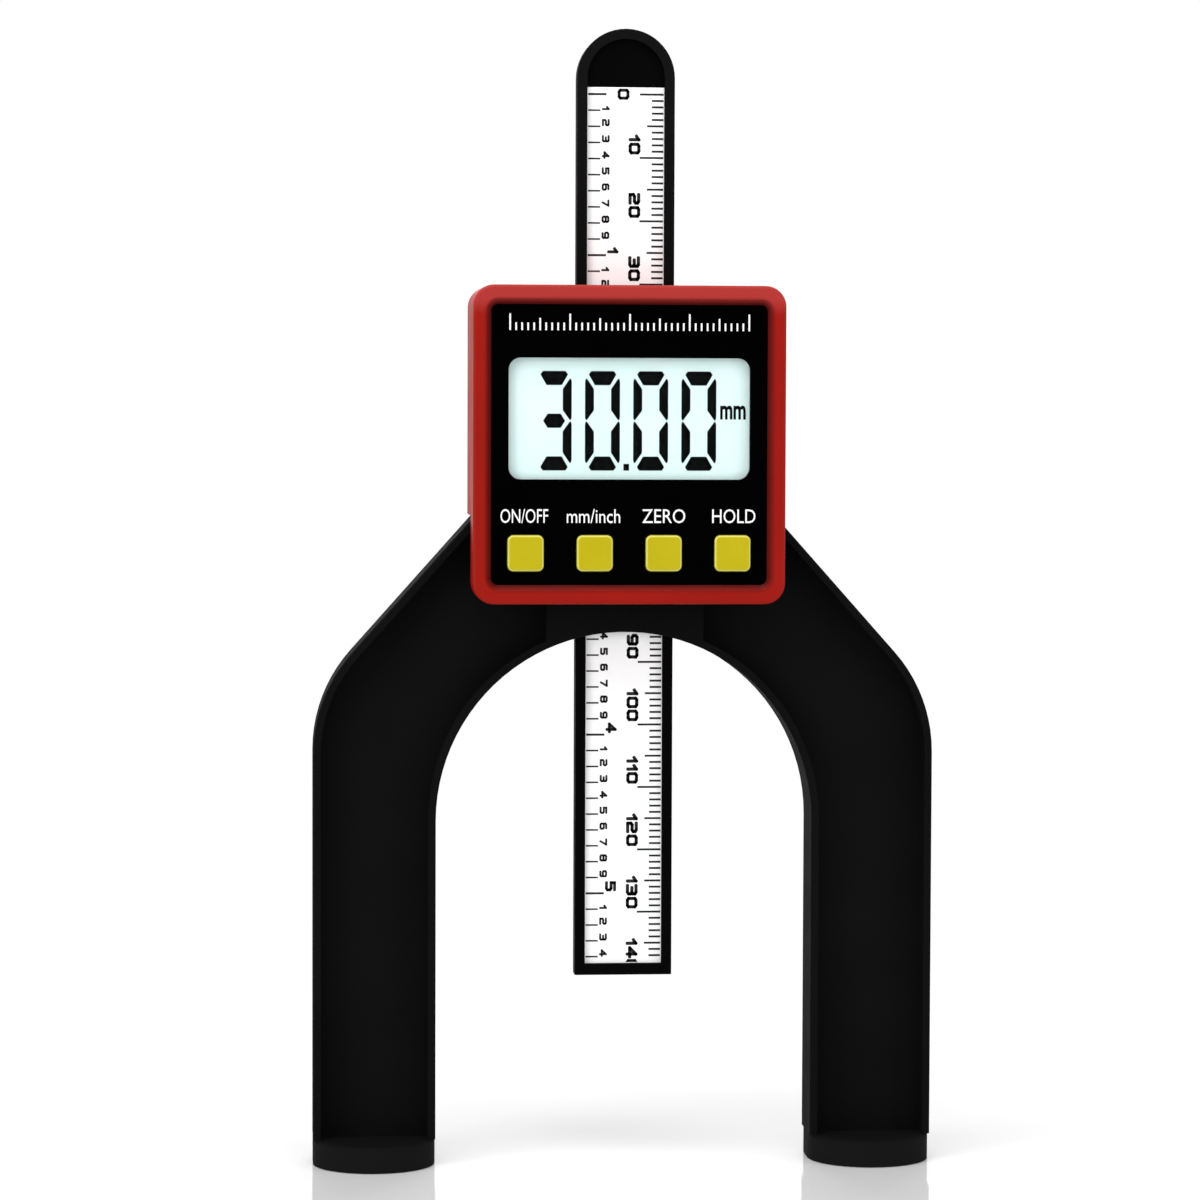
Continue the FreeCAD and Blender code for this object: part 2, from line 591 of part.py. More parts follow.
def stand_holes(body):
    """Holes for the screws, the lock, the battery and the magnets."""
    cut_upright(body, "screw_holes", "stand_front", "stand_rear",
                lambda sketch: circles(sketch, screw_places(), "screw_radius + fit_gap"))
    cut_upright(body, "screw_sinks", "stand_rear - head_inset - head_thick", "stand_rear",
                lambda sketch: circles(sketch, screw_places(), "screw_head + fit_gap"))
    steps = [
        ("pad_bore", "rail_front", "stand_rear", "0", "lock_height", "pad_radius + fit_gap"),
        ("insert_bore", "stand_rear - insert_length", "stand_rear", "0", "lock_height", "insert_radius"),
        ("battery_bore", "cup_front", "lug_rear", "battery_side", "battery_height",
         "battery_radius + battery_gap"),
        ("lug_room", "plug_front", "lug_rear + fit_gap", "battery_side", "battery_height",
         "cap_radius + 2 * fit_gap"),
        ("plug_bore", "lug_rear", "stand_rear", "battery_side", "battery_height", "plug_radius + fit_gap"),
        ("cap_seat", "cap_front", "stand_rear", "battery_side", "battery_height", "cap_radius + fit_gap"),
    ]
    for name, front, rear, x, z, radius in steps:
        cut_upright(body, name, front, rear,
                    lambda sketch, x=x, z=z, radius=radius: circle(sketch, x, z, radius))
    entry = new_sketch(body, "lug_entry", "XZ_Plane", "-lug_rear")
    entry.setExpression("AttachmentOffset.Base.x", formula("battery_side"))
    entry.setExpression("AttachmentOffset.Base.y", formula("battery_height"))
    entry.setExpression("AttachmentOffset.Rotation.Angle", formula("-lug_turn"))
    lug_entry_outline(entry)
    pocket(entry, "cap_front - lug_rear")
    cut_upright(body, "contact_slot", "cup_front", "cup_front + contact_reach", lambda sketch: rectangle(
        sketch, "battery_side - contact_width / 2 - fit_gap", "battery_side + contact_width / 2 + fit_gap",
        "battery_height + battery_radius", "battery_height + cup_radius + fit_gap"))
    magnets = [(x, y) for x, y, name in magnet_places()]
    cut_level(body, "magnet_holes", "0", "magnet_inset + magnet_thick",
              lambda sketch: circles(sketch, magnets, "magnet_radius + fit_gap / 2"))


def magnet_places():
    """The four foot magnets, as (x, y, name)."""
    sides = (("-leg_middle", "left"), ("leg_middle", "right"))
    ends = (("-magnet_spacing / 2", "front"), ("magnet_spacing / 2", "rear"))
    return [(x, y, "magnet_%s_%s" % (side, end)) for x, side in sides for y, end in ends]


def build_stand():
    """Moulded stand: two legs joined by an arch, with hollowed faces and the box behind the display."""
    body = new_body("stand_frame")
    add_upright(body, "stand_plate", "stand_front", "stand_rear", stand_outline)
    cut_upright(body, "front_hollow", "stand_front", "stand_front + front_recess", hollow_outline)
    cut_upright(body, "rear_hollow", "stand_front + front_recess + web_thick", "stand_rear", hollow_outline)
    add_upright(body, "display_box", "stand_front", "stand_rear", lambda sketch: outline(sketch, [
        ("-box_half", "box_base"), ("box_half", "box_base"),
        ("box_half", "box_top", "box_corner"), ("-box_half", "box_top", "box_corner")]))
    add_upright(body, "arch_rim", "stand_front", "stand_rear", lambda sketch: round_topped(
        sketch, "(gap_width / 2 + rim_width)", "foot_height", "arch_centre"))
    add_upright(body, "bridge", "stand_front", "stand_rear", lambda sketch: rectangle(
        sketch, "-bridge_width / 2", "bridge_width / 2", "arch_centre", "box_base + box_wall"))
    cut_upright(body, "arch", "stand_front", "stand_rear", lambda sketch: round_topped(
        sketch, "(gap_width / 2)", "-foot_height", "arch_centre"))
    add_level(body, "feet", "0", "foot_height", lambda sketch: [
        stadium(sketch, x, "0", "leg_width / 2", "foot_spread") for x in ("leg_middle", "-leg_middle")])
    cut_upright(body, "box_room", "stand_front", "room_rear", lambda sketch: rectangle(
        sketch, "-room_half", "room_half", "room_base", "room_top"))
    stand_inside(body)
    cut_level(body, "beam_slot", "arch_centre", "box_top", lambda sketch: rectangle(
        sketch, "-beam_half - slide_gap", "beam_half + slide_gap", "beam_front - slide_gap", "rail_front"))
    stand_holes(body)
    round_stand(body)


def round_stand(body):
    """Soft outer edges of the legs and shoulders, of the arch and of the feet."""
    faces = (number("stand_front"), number("stand_rear"))
    foot, half_gap = number("foot_height"), number("gap_width / 2")
    outer, corner = number("outer_half"), number("shoulder_inner")
    shoulder, toe = number("shoulder_radius"), number("leg_width / 2")

    def radius(edge):
        return edge.Curve.Radius if isinstance(edge.Curve, Part.Circle) else 0.0

    def outside(edge):
        bounds = edge.BoundBox
        if not any(lies_at_depth(edge, face) for face in faces) or bounds.ZLength < 1:
            return False
        reach = max(abs(bounds.XMin), abs(bounds.XMax))
        leg = bounds.XLength < NEAR and min(abs(reach - outer), abs(reach - half_gap)) < NEAR
        curved = min(abs(radius(edge) - shoulder), abs(radius(edge) - half_gap)) < NEAR
        sloped = not radius(edge) and bounds.XLength > 1 and abs(bounds.ZMax - corner) < NEAR
        return leg or curved or sloped

    body.Tip.Refine = True
    round_edges(body, "foot_rounding", "foot_edge",
                lambda edge: lies_at_height(edge, foot) and abs(radius(edge) - toe) < NEAR
                and abs(edge.BoundBox.Center.y) > faces[1])
    round_edges(body, "outer_rounding", "stand_edge", outside)


def build_magnets():
    """Four disc magnets let into the soles."""
    for x, y, name in magnet_places():
        disc = document.addObject("Part::Cylinder", name)
        disc.Label = name
        disc.setExpression("Radius", formula("magnet_radius"))
        disc.setExpression("Height", formula("magnet_thick"))
        disc.setExpression("Placement.Base.x", formula(x))
        disc.setExpression("Placement.Base.y", formula(y))
        disc.setExpression("Placement.Base.z", formula("magnet_inset"))
        PARTS.append(disc)


def case_outline(sketch):
    """Outer edge of the display case."""
    rectangle(sketch, "-display_half", "display_half", "display_base", "display_top", "case_corner")


def button_places():
    """The four buttons from left to right, as (name, x formula)."""
    steps = (("power", -1.5), ("units", -0.5), ("zero", 0.5), ("hold", 1.5))
    return [(name, "(button_pitch * %s)" % step) for name, step in steps]


def square_at(sketch, x, z, half, radius=None):
    """Square about a point."""
    rectangle(sketch, "%s - (%s)" % (x, half), "%s + %s" % (x, half),
              "%s - (%s)" % (z, half), "%s + %s" % (z, half), radius)


def window_outline(sketch, gap="0"):
    """Outline of the display window, less a gap."""
    rectangle(sketch, "-window_width / 2 + %s" % gap, "window_width / 2 - %s" % gap,
              "window_middle - window_height / 2 + %s" % gap, "window_middle + window_height / 2 - %s" % gap,
              "window_corner")


def cell_outline(sketch, gap="0"):
    """Outline of the liquid crystal cell, plus a gap."""
    rectangle(sketch, "-cell_width / 2 - %s" % gap, "cell_width / 2 + %s" % gap,
              "window_middle - cell_height / 2 - %s" % gap, "window_middle + cell_height / 2 + %s" % gap)


def panel_outline(sketch, gap="0"):
    """Outline of the face panel, plus a gap."""
    rectangle(sketch, "-panel_width / 2 - %s" % gap, "panel_width / 2 + %s" % gap,
              "display_middle - panel_height / 2 - %s" % gap, "display_middle + panel_height / 2 + %s" % gap,
              "panel_corner + %s" % gap)


def pillar_places():
    """The four pillars of the main board, as (x, z) formulas."""
    return [("pillar_upper", "pillar_top"), ("-pillar_upper", "pillar_top"),
            ("button_pitch", "pillar_base"), ("-button_pitch", "pillar_base")]


def build_case():
    """Display case: a deep shell with a face plate, whose skirt wraps the stand's box above the shoulders."""
    body = new_body("display_case")
    add_upright(body, "case_block", "case_front", "stand_rear", case_outline)
    cut_upright(body, "skirt_end", "stand_front", "stand_rear", lambda sketch: outline(sketch, [
        ("-display_half - fit_gap", "display_base - fit_gap"),
        ("display_half + fit_gap", "display_base - fit_gap"),
        ("display_half + fit_gap", "shoulder_height - fit_gap * slope + skirt_gap"),
        ("box_half", "shoulder_inner + skirt_gap"),
        ("-box_half", "shoulder_inner + skirt_gap"),
        ("-display_half - fit_gap", "shoulder_height - fit_gap * slope + skirt_gap")]))
    cut_upright(body, "skirt_room", "stand_front", "stand_rear", lambda sketch: outline(sketch, [
        ("-box_half - fit_gap", "display_base"), ("box_half + fit_gap", "display_base"),
        ("box_half + fit_gap", "box_top + fit_gap", "box_corner + fit_gap"),
        ("-box_half - fit_gap", "box_top + fit_gap", "box_corner + fit_gap")]))
    cut_upright(body, "case_room", "plate_rear", "stand_front", lambda sketch: rectangle(
        sketch, "-display_half + case_wall", "display_half - case_wall",
        "display_base + case_wall", "display_top - case_wall", "case_corner - case_wall"))
    cut_upright(body, "panel_seat", "case_front", "panel_rear",
                lambda sketch: panel_outline(sketch, "fit_gap"))
    cut_upright(body, "cell_hole", "panel_rear", "plate_rear",
                lambda sketch: cell_outline(sketch, "fit_gap"))
    cut_upright(body, "button_holes", "panel_rear", "plate_rear", lambda sketch: [
        square_at(sketch, x, "button_height", "flange_half + button_gap") for name, x in button_places()])
    add_upright(body, "case_bosses", "plate_rear", "stand_front",
                lambda sketch: circles(sketch, screw_places(), "boss_radius"))
    add_upright(body, "board_pillars", "plate_rear", "board_front",
                lambda sketch: circles(sketch, pillar_places(), "pillar_radius"))
    cut_upright(body, "boss_holes", "stand_front - screw_bite - fit_gap", "stand_front",
                lambda sketch: circles(sketch, screw_places(), "screw_radius"))
    cut_upright(body, "pillar_holes", "plate_rear", "board_front",
                lambda sketch: circles(sketch, pillar_places(), "board_screw"))
    slot = cut_level(body, "top_slot", "box_top", "display_top", lambda sketch: rectangle(
        sketch, "-beam_half - slide_gap - slot_margin", "beam_half + slide_gap + slot_margin",
        "beam_front - slide_gap - slot_margin", "rail_front + slot_margin"))
    slot.Refine = True
    front = number("case_front")
    rim = [number(text) for text in ("display_half", "display_height / 2", "case_corner")]
    seat = [number(text + " + fit_gap") for text in ("panel_width / 2", "panel_height / 2", "panel_corner")]
    round_edges(body, "front_rounding", "case_edge",
                lambda edge: lies_at_depth(edge, front) and on_frame(edge, *rim))
    bevel = dress(body, "Chamfer", "panel_bevel",
                  lambda edge: lies_at_depth(edge, front) and on_frame(edge, *seat))
    bevel.ChamferType = "Two distances"
    bevel.setExpression("Size", formula("bevel_width"))
    bevel.setExpression("Size2", formula("bevel_depth"))


def on_frame(edge, half_width, half_height, corner):
    """The edge lies on a rounded rectangle about the display's middle."""
    middle = number("display_middle")
    bounds = edge.BoundBox
    if isinstance(edge.Curve, Part.Circle):
        centre = edge.Curve.Center
        return (abs(abs(centre.x) + corner - half_width) < NEAR
                and abs(abs(centre.z - middle) + corner - half_height) < NEAR
                and abs(edge.Curve.Radius - corner) < NEAR)
    upright = bounds.XLength < NEAR and abs(abs(bounds.XMin) - half_width) < NEAR
    level = bounds.ZLength < NEAR and abs(abs(bounds.ZMin - middle) - half_height) < NEAR
    return upright or level


def build_face():
    """Face panel with its window and button holes, and the clear window that lies in it."""
    panel = new_body("face_panel")
    add_upright(panel, "panel_plate", "panel_front", "panel_rear", panel_outline)
    cut_upright(panel, "window_hole", "panel_front", "panel_rear", window_outline)
    cut_upright(panel, "panel_button_holes", "panel_front", "panel_rear", lambda sketch: [
        square_at(sketch, x, "button_height", "button_size / 2 + button_gap", "button_corner + button_gap")
        for name, x in button_places()])
    window = new_body("display_window")
    add_upright(window, "window_plate", "panel_front + window_inset", "panel_rear",
                lambda sketch: window_outline(sketch, "fit_gap / 2"))


def build_display():
    """Liquid crystal cell, the holder behind it and the two zebra strips that join it to the main board."""
    cell = new_body("lcd_cell")
    add_upright(cell, "cell_plate", "cell_front", "cell_rear", cell_outline)
    holder = new_body("lcd_holder")
    rim = "(fit_gap + holder_rim)"
    add_upright(holder, "holder_block", "plate_rear", "board_front",
                lambda sketch: cell_outline(sketch, rim))
    cut_upright(holder, "holder_seat", "plate_rear", "cell_rear",
                lambda sketch: cell_outline(sketch, "fit_gap"))
    cut_upright(holder, "zebra_slots", "cell_rear", "board_front", lambda sketch: rectangles(
        sketch, [zebra_box(level, "fit_gap") for level in ("upper", "lower")]))
    for level in ("upper", "lower"):
        strip = new_body("zebra_strip_" + level)
        add_upright(strip, level + "_zebra", "cell_rear", "board_front",
                    lambda sketch, level=level: rectangle(sketch, *zebra_box(level, "0")))


def zebra_box(level, gap):
    """Left, right, low and high edge of a zebra strip or, with a gap, of its slot."""
    sign = "+" if level == "upper" else "-"
    middle = "window_middle %s (cell_height / 2 - zebra_width)" % sign
    return ("-zebra_half - %s" % gap, "zebra_half + %s" % gap,
            "%s - zebra_width / 2 - %s" % (middle, gap), "%s + zebra_width / 2 + %s" % (middle, gap))


def new_block(name, left, front, low, width, depth, height):
    """Plain box from its lowest corner and its three sizes."""
    block = document.addObject("Part::Box", name)
    block.Label = name
    values = {"Length": width, "Width": depth, "Height": height,
              "Placement.Base.x": left, "Placement.Base.y": front, "Placement.Base.z": low}
    for key, text in values.items():
        block.setExpression(key, formula(text))
    PARTS.append(block)


def build_boards():
    """Main board, and the sensor board that the pin header holds close to the scale."""
    board = new_body("main_board")
    side, step = "board_half", "(board_half - board_notch)"
    end, rise = "board_reach", "(board_reach - board_notch)"
    add_upright(board, "board_plate", "board_front", "board_rear", lambda sketch: outline(sketch, [
        (x, "display_middle + (%s)" % z) for x, z in (
            ("-" + step, "-" + end), (step, "-" + end), (step, "-" + rise), (side, "-" + rise),
            (side, rise), (step, rise), (step, end), ("-" + step, end),
            ("-" + step, rise), ("-" + side, rise), ("-" + side, "-" + rise), ("-" + step, "-" + rise))]))
    cut_upright(board, "board_holes", "board_front", "board_rear",
                lambda sketch: circles(sketch, pillar_places(), "board_screw + fit_gap"))
    new_block("sensor_board", "-sensor_half", "sensor_front", "sensor_top - sensor_length",
              "2 * sensor_half", "sensor_thick", "sensor_length")
    new_block("pin_header", "-header_width / 2", "board_rear", "sensor_top - header_depth",
              "header_width", "header_rise", "header_depth")
    new_block("controller_chip", "-beam_half - chip_side - chip_size", "board_rear",
              "display_middle - chip_drop", "chip_size", "chip_thick", "chip_size")


def build_buttons():
    """Four buttons, each with the plunger and the housing of its key switch."""
    for name, x in button_places():
        button = new_body(name + "_button")
        add_upright(button, name + "_cap", "button_front", "flange_front", lambda sketch, x=x: square_at(
            sketch, x, "button_height", "button_size / 2", "button_corner"))
        add_upright(button, name + "_flange", "flange_front", "flange_rear", lambda sketch, x=x: square_at(
            sketch, x, "button_height", "flange_half"))
        add_upright(button, name + "_stem", "flange_rear", "plunger_front", lambda sketch, x=x: circle(
            sketch, x, "button_height", "stem_radius"))
        front = number("button_front")
        round_edges(button, name + "_rounding", "button_edge", lambda edge: lies_at_depth(edge, front))
        plunger = new_body(name + "_plunger")
        add_upright(plunger, name + "_pin", "plunger_front", "switch_front + plunger_hidden",
                    lambda sketch, x=x: circle(sketch, x, "button_height", "plunger_radius"))
        switch = new_body(name + "_switch")
        add_upright(switch, name + "_housing", "switch_front", "board_front", lambda sketch, x=x: square_at(
            sketch, x, "button_height", "switch_size / 2"))
        cut_upright(switch, name + "_bore", "switch_front", "board_front - switch_floor",
                    lambda sketch, x=x: circle(sketch, x, "button_height", "plunger_radius + fit_gap"))


def build_beam():
    """Scale beam: recessed front with raised rims, round top, and the lock pad's groove in its back."""
    beam = new_body("beam")
    add_upright(beam, "beam_bar", "beam_front", "beam_rear",
                lambda sketch: round_topped(sketch, "beam_half", "beam_tip", "beam_round"))
    cut_upright(beam, "beam_face", "beam_front", "strip_front",
                lambda sketch: round_topped(sketch, "strip_half", "strip_base", "beam_round"))
    cut_upright(beam, "strip_seat", "strip_front", "scale_rear", lambda sketch: rectangle(
        sketch, "-strip_half", "strip_half", "strip_base", "strip_base + strip_length"))
    reach = "((travel_up + travel_down) / 2 + stop_gap)"
    middle = "(lock_height + (travel_down - travel_up) / 2)"
    groove = cut_upright(beam, "lock_groove", "groove_floor", "beam_rear",
                         lambda sketch: stadium(sketch, "0", middle, "pad_radius + groove_gap", reach))
    groove.Refine = True
    front, half = number("beam_front"), number("beam_half")
    round_edges(beam, "beam_rounding", "beam_edge", lambda edge: lies_at_depth(edge, front)
                and max(abs(edge.BoundBox.XMin), abs(edge.BoundBox.XMax)) > half - NEAR
                and edge.BoundBox.ZLength > 1)
    for name, front, rear in (("scale_board", "scale_front", "scale_rear"),
                              ("scale_strip", "strip_front", "scale_front")):
        plate = new_body(name)
        add_upright(plate, name + "_plate", front, rear, lambda sketch: rectangle(
            sketch, "-strip_half + fit_gap / 2", "strip_half - fit_gap / 2",
            "strip_base + fit_gap / 2", "strip_base + strip_length - fit_gap / 2"))


def build_spring():
    """Bowed leaf that presses the beam against its right side."""
    spring = new_body("drag_spring")
    half, bow = number("spring_length / 2"), number("spring_bow")
    curve = "(((spring_length / 2) ^ 2 + spring_bow ^ 2) / (2 * spring_bow))"
    sketch = new_sketch(spring, "spring_leaf", "XZ_Plane", "-(strip_front + spring_width)")
    up, size, thick = FreeCAD.Vector(0, 0, 1), number(curve), number("spring_thick")
    centre = place("-spring_face - " + curve, "spring_middle")
    turn = math.asin(half / size)
    outer = sketch.addGeometry(Part.ArcOfCircle(Part.Circle(centre, up, size), -turn, turn), False)
    turn = math.asin(half / (size - thick))
    inner = sketch.addGeometry(Part.ArcOfCircle(Part.Circle(centre, up, size - thick), -turn, turn), False)
    ends = []
    for side in (-1, 1):
        far = FreeCAD.Vector(centre.x + size - bow, centre.y + side * half, 0)
        near = FreeCAD.Vector(far.x - thick, far.y, 0)
        ends.append(sketch.addGeometry(Part.LineSegment(far, near), False))
    for line, position in zip(ends, (1, 2)):
        sketch.addConstraint(Sketcher.Constraint("Coincident", line, 1, outer, position))
        sketch.addConstraint(Sketcher.Constraint("Coincident", line, 2, inner, position))
        sketch.addConstraint(Sketcher.Constraint("Horizontal", line))
    pin(sketch, outer, 3, "-spring_face - " + curve, "spring_middle")
    sketch.addConstraint(Sketcher.Constraint("Coincident", inner, 3, outer, 3))
    bind(sketch, "Radius", (outer,), curve)
    bind(sketch, "Radius", (inner,), curve + " - spring_thick")
    bind(sketch, "DistanceY", (-1, 1, outer, 1), "spring_middle - spring_length / 2")
    bind(sketch, "DistanceY", (-1, 1, outer, 2), "spring_middle + spring_length / 2")
    pad(sketch, "spring_width")


def build_lock():
    """Lock: threaded insert in the stand, pad in the beam's groove, screw and fluted knob."""
    insert = new_body("lock_insert")
    add_upright(insert, "insert_bush", "stand_rear - insert_length", "stand_rear",
                lambda sketch: circle(sketch, "0", "lock_height", "insert_radius"))
    cut_upright(insert, "insert_thread", "stand_rear - insert_length", "stand_rear",
                lambda sketch: circle(sketch, "0", "lock_height", "lock_shank + turn_gap"))
    lock_pad = new_body("lock_pad")
    add_upright(lock_pad, "pad_pin", "pad_front", "pad_rear",
                lambda sketch: circle(sketch, "0", "lock_height", "pad_radius"))
    screw = new_body("lock_screw")
    add_upright(screw, "screw_shank", "pad_rear", "knob_front + knob_collar",
                lambda sketch: circle(sketch, "0", "lock_height", "lock_shank"))
    knob = new_body("lock_knob")
    add_upright(knob, "knob_neck_bar", "knob_front", "knob_front + knob_collar",
                lambda sketch: circle(sketch, "0", "lock_height", "knob_neck"))
    add_upright(knob, "knob_grip", "knob_front + knob_collar", "knob_end",
                lambda sketch: circle(sketch, "0", "lock_height", "knob_radius"))
    cut_upright(knob, "shank_hole", "knob_front", "knob_front + knob_collar",
                lambda sketch: circle(sketch, "0", "lock_height", "lock_shank"))
    dish = new_sketch(knob, "knob_face", "XZ_Plane", "-knob_end")
    circle(dish, "0", "lock_height", "knob_radius - knob_rim")
    dish_cut = pocket(dish, "knob_dish")
    dish_cut.Reversed = True
    rim = number("knob_radius")
    bevel = dress(knob, "Chamfer", "knob_bevel", lambda edge: isinstance(edge.Curve, Part.Circle)
                  and abs(edge.Curve.Radius - rim) < NEAR)
    bevel.setExpression("Size", formula("knob_edge"))
    flute = cut_upright(knob, "knob_flute", "knob_front + knob_collar", "knob_end",
                        lambda sketch: circle(sketch, "0", "lock_height + knob_radius", "flute_radius"))
    document.recompute()
    pattern = knob.newObject("PartDesign::PolarPattern", "knob_flutes")
    pattern.Originals = [flute]
    axis = new_sketch(knob, "knob_axis", "XZ_Plane", "-knob_end")
    centre = axis.addGeometry(Part.Point(place("0", "lock_height")), True)
    pin(axis, centre, 1, "0", "lock_height")
    pattern.Axis = (axis, ["N_Axis"])
    pattern.Angle = 360
    pattern.setExpression("Occurrences", formula("flute_count"))
    knob.Tip = pattern


def build_battery():
    """Button cell, its two contacts and the coin-slotted cap over it."""
    can = document.addObject("Part::Cylinder", "battery_can")
    terminal = document.addObject("Part::Cylinder", "battery_terminal")
    for cylinder, radius, front, length in (
            (can, "battery_radius", "cup_front", "battery_thick - terminal_thick"),
            (terminal, "terminal_radius", "battery_front", "terminal_thick")):
        cylinder.setExpression("Radius", formula(radius))
        cylinder.setExpression("Height", formula(length))
        cylinder.Placement.Rotation = FreeCAD.Rotation(FreeCAD.Vector(1, 0, 0), -90)
        cylinder.setExpression("Placement.Base.x", formula("battery_side"))
        cylinder.setExpression("Placement.Base.y", formula(front))
        cylinder.setExpression("Placement.Base.z", formula("battery_height"))
    cell = document.addObject("Part::Fuse", "battery")
    cell.Label = "battery"
    cell.Base = can
    cell.Tool = terminal
    PARTS.append(cell)

    negative = new_body("battery_contact_negative")
    root, foot = "battery_side - leaf_root", "battery_side - leaf_root + leaf_foot"
    bend, tip = "battery_side + leaf_bend", "battery_side + leaf_tip"
    face = "battery_front - fit_gap"
    leaf = [
        (root, "board_rear"),
        (foot, "board_rear"),
        (foot, "board_rear + contact_thick"),
        (root + " + 3 * contact_thick", "board_rear + contact_thick"),
        (bend + " + contact_thick", face + " - contact_thick"),
        (tip, face + " - contact_thick"),
        (tip, face),
        (bend, face),
        (root, "board_rear + 2 * contact_thick"),
    ]
    add_level(negative, "negative_leaf", "battery_height - contact_width / 2",
              "battery_height + contact_width / 2", lambda sketch: outline(sketch, leaf))
    positive = new_body("battery_contact_positive")
    low = "(battery_height + battery_radius + fit_gap)"
    sketch = new_sketch(positive, "positive_leaf", "YZ_Plane", "battery_side - contact_width / 2")
    outline(sketch, [
        ("board_rear", low),
        ("cup_front + contact_reach - fit_gap", low),
        ("cup_front + contact_reach - fit_gap", low + " + contact_thick"),
        ("board_rear + contact_thick", low + " + contact_thick"),
        ("board_rear + contact_thick", low + " + contact_width"),
        ("board_rear", low + " + contact_width"),
    ])
    pad(sketch, "contact_width")

    cap = new_body("battery_cap")
    add_upright(cap, "cap_plug", "plug_front", "cap_front",
                lambda sketch: circle(sketch, "battery_side", "battery_height", "plug_radius"))
    add_upright(cap, "cap_disc", "cap_front", "stand_rear",
                lambda sketch: circle(sketch, "battery_side", "battery_height", "cap_radius"))
    add_upright(cap, "cap_lugs", "plug_front", "lug_rear", lambda sketch: rectangle(
        sketch, "battery_side - cap_radius + fit_gap", "battery_side + cap_radius - fit_gap",
        "battery_height - lug_width / 2", "battery_height + lug_width / 2"))
    slot = new_sketch(cap, "coin_slot", "XZ_Plane", "-stand_rear")
    stadium(slot, "battery_side", "battery_height", "coin_width / 2", "(coin_length - coin_width) / 2", False)
    slot_cut = pocket(slot, "coin_depth")
    slot_cut.Reversed = True


def screw_shape(x, z, tip, seat, shank, head, thick):
    """Pan-head screw along Y, from its tip back to the cross slot in its head."""
    back = FreeCAD.Vector(0, 1, 0)
    bar = Part.makeCylinder(shank, seat - tip, FreeCAD.Vector(x, tip, z), back)
    cap = Part.makeCylinder(head, thick, FreeCAD.Vector(x, seat, z), back)
    reach, width, depth = (share * size for share, size in zip(CROSS_SLOT, (head, head, thick)))
    slot = Part.makeBox(2 * reach, depth, width)
    slot.translate(FreeCAD.Vector(x - reach, seat + thick - depth, z - width / 2))
    cross = slot.copy()
    cross.rotate(FreeCAD.Vector(x, seat, z), back, 90)
    return bar.fuse(cap).removeSplitter().cut(slot).cut(cross)


def build_screws():
    """Case screws from behind and the main board's screws, each set one group of separate solids."""
    seat = number("stand_rear - head_inset - head_thick")
    sets = [
        ("housing_screws", screw_places(), number("stand_front - screw_bite"), seat,
         "screw_radius", "screw_head", "head_thick"),
        ("board_screws", pillar_places(), number("plate_rear"), number("board_rear"),
         "board_screw", "board_head", "board_head_thick"),
    ]
    for name, places, tip, under_head, shank, head, thick in sets:
        sizes = [number(text) for text in (shank, head, thick)]
        shapes = [screw_shape(number(x), number(z), tip, under_head, *sizes) for x, z in places]
        group = document.addObject("Part::Feature", name)
        group.Label = name
        group.Shape = Part.makeCompound(shapes)
        group.Placement = FreeCAD.Placement()
        PARTS.append(group)


def check_document():
    """Stop if any object failed or any part has no valid shape."""
    document.recompute()
    for item in document.Objects:
        if "Invalid" in item.State or "Error" in item.State:
            raise RuntimeError("%s failed: %s" % (item.Label, item.State))
    for item in PARTS:
        if item.Shape.isNull() or not item.Shape.isValid() or not item.Shape.Solids:
            raise RuntimeError(item.Label + " has no valid shape")


build_stand()
build_magnets()
build_case()
build_face()
build_display()
build_boards()
build_buttons()
build_beam()
build_spring()
build_lock()
build_battery()
build_screws()
check_document()

os.makedirs("parts", exist_ok=True)
for item in PARTS:
    item.Shape.exportStep("parts/%s.step" % item.Label)
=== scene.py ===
import math

import bmesh
import bpy
from mathutils import Matrix, Vector


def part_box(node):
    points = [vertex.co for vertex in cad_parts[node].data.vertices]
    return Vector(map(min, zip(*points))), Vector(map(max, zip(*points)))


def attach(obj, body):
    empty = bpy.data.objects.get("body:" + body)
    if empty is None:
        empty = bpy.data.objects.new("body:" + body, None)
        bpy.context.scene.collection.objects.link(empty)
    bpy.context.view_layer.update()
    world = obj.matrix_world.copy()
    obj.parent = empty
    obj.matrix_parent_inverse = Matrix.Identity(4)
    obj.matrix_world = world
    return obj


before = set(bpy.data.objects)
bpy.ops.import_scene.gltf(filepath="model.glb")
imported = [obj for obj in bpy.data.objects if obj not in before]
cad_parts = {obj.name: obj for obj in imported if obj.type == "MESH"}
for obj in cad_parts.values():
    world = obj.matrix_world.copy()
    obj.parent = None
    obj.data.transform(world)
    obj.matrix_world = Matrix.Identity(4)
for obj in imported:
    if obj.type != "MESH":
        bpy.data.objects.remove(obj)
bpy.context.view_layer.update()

MM = 0.001
KEYS = ("power", "units", "zero", "hold")

# Materials

# Part of a noise's range in which a colour or value changes
MIDDLE_RANGE = (0.3, 0.7)

# Corner radius of the face panel, and how far from the corner's centre the painted shade on the bevel
# fades, in metres
BEVEL_CORNER = 0.0011
BEVEL_SHADE_FADE = (0.0013975, 0.00246)

# Depths under the case's top at which its painted top light starts and is full
TOP_LIGHT_FADE = (0.0046, 0.0023)

# Depths behind the beam's front, and under its top, between which the painted highlight on its rim fades
RIM_HIGHLIGHT_FADE = (0.0005, 0.0006)
UPPER_HIGHLIGHT_FADE = (0.09, 0.01)

# Heights between which the painted highlight on the feet fades
FOOT_HIGHLIGHT_FADE = (0.003485, 0.0041)

# How squarely a key's surface faces the front where the painted highlight on its edges fades
EDGE_HIGHLIGHT_FADE = (0.85, 0.99)


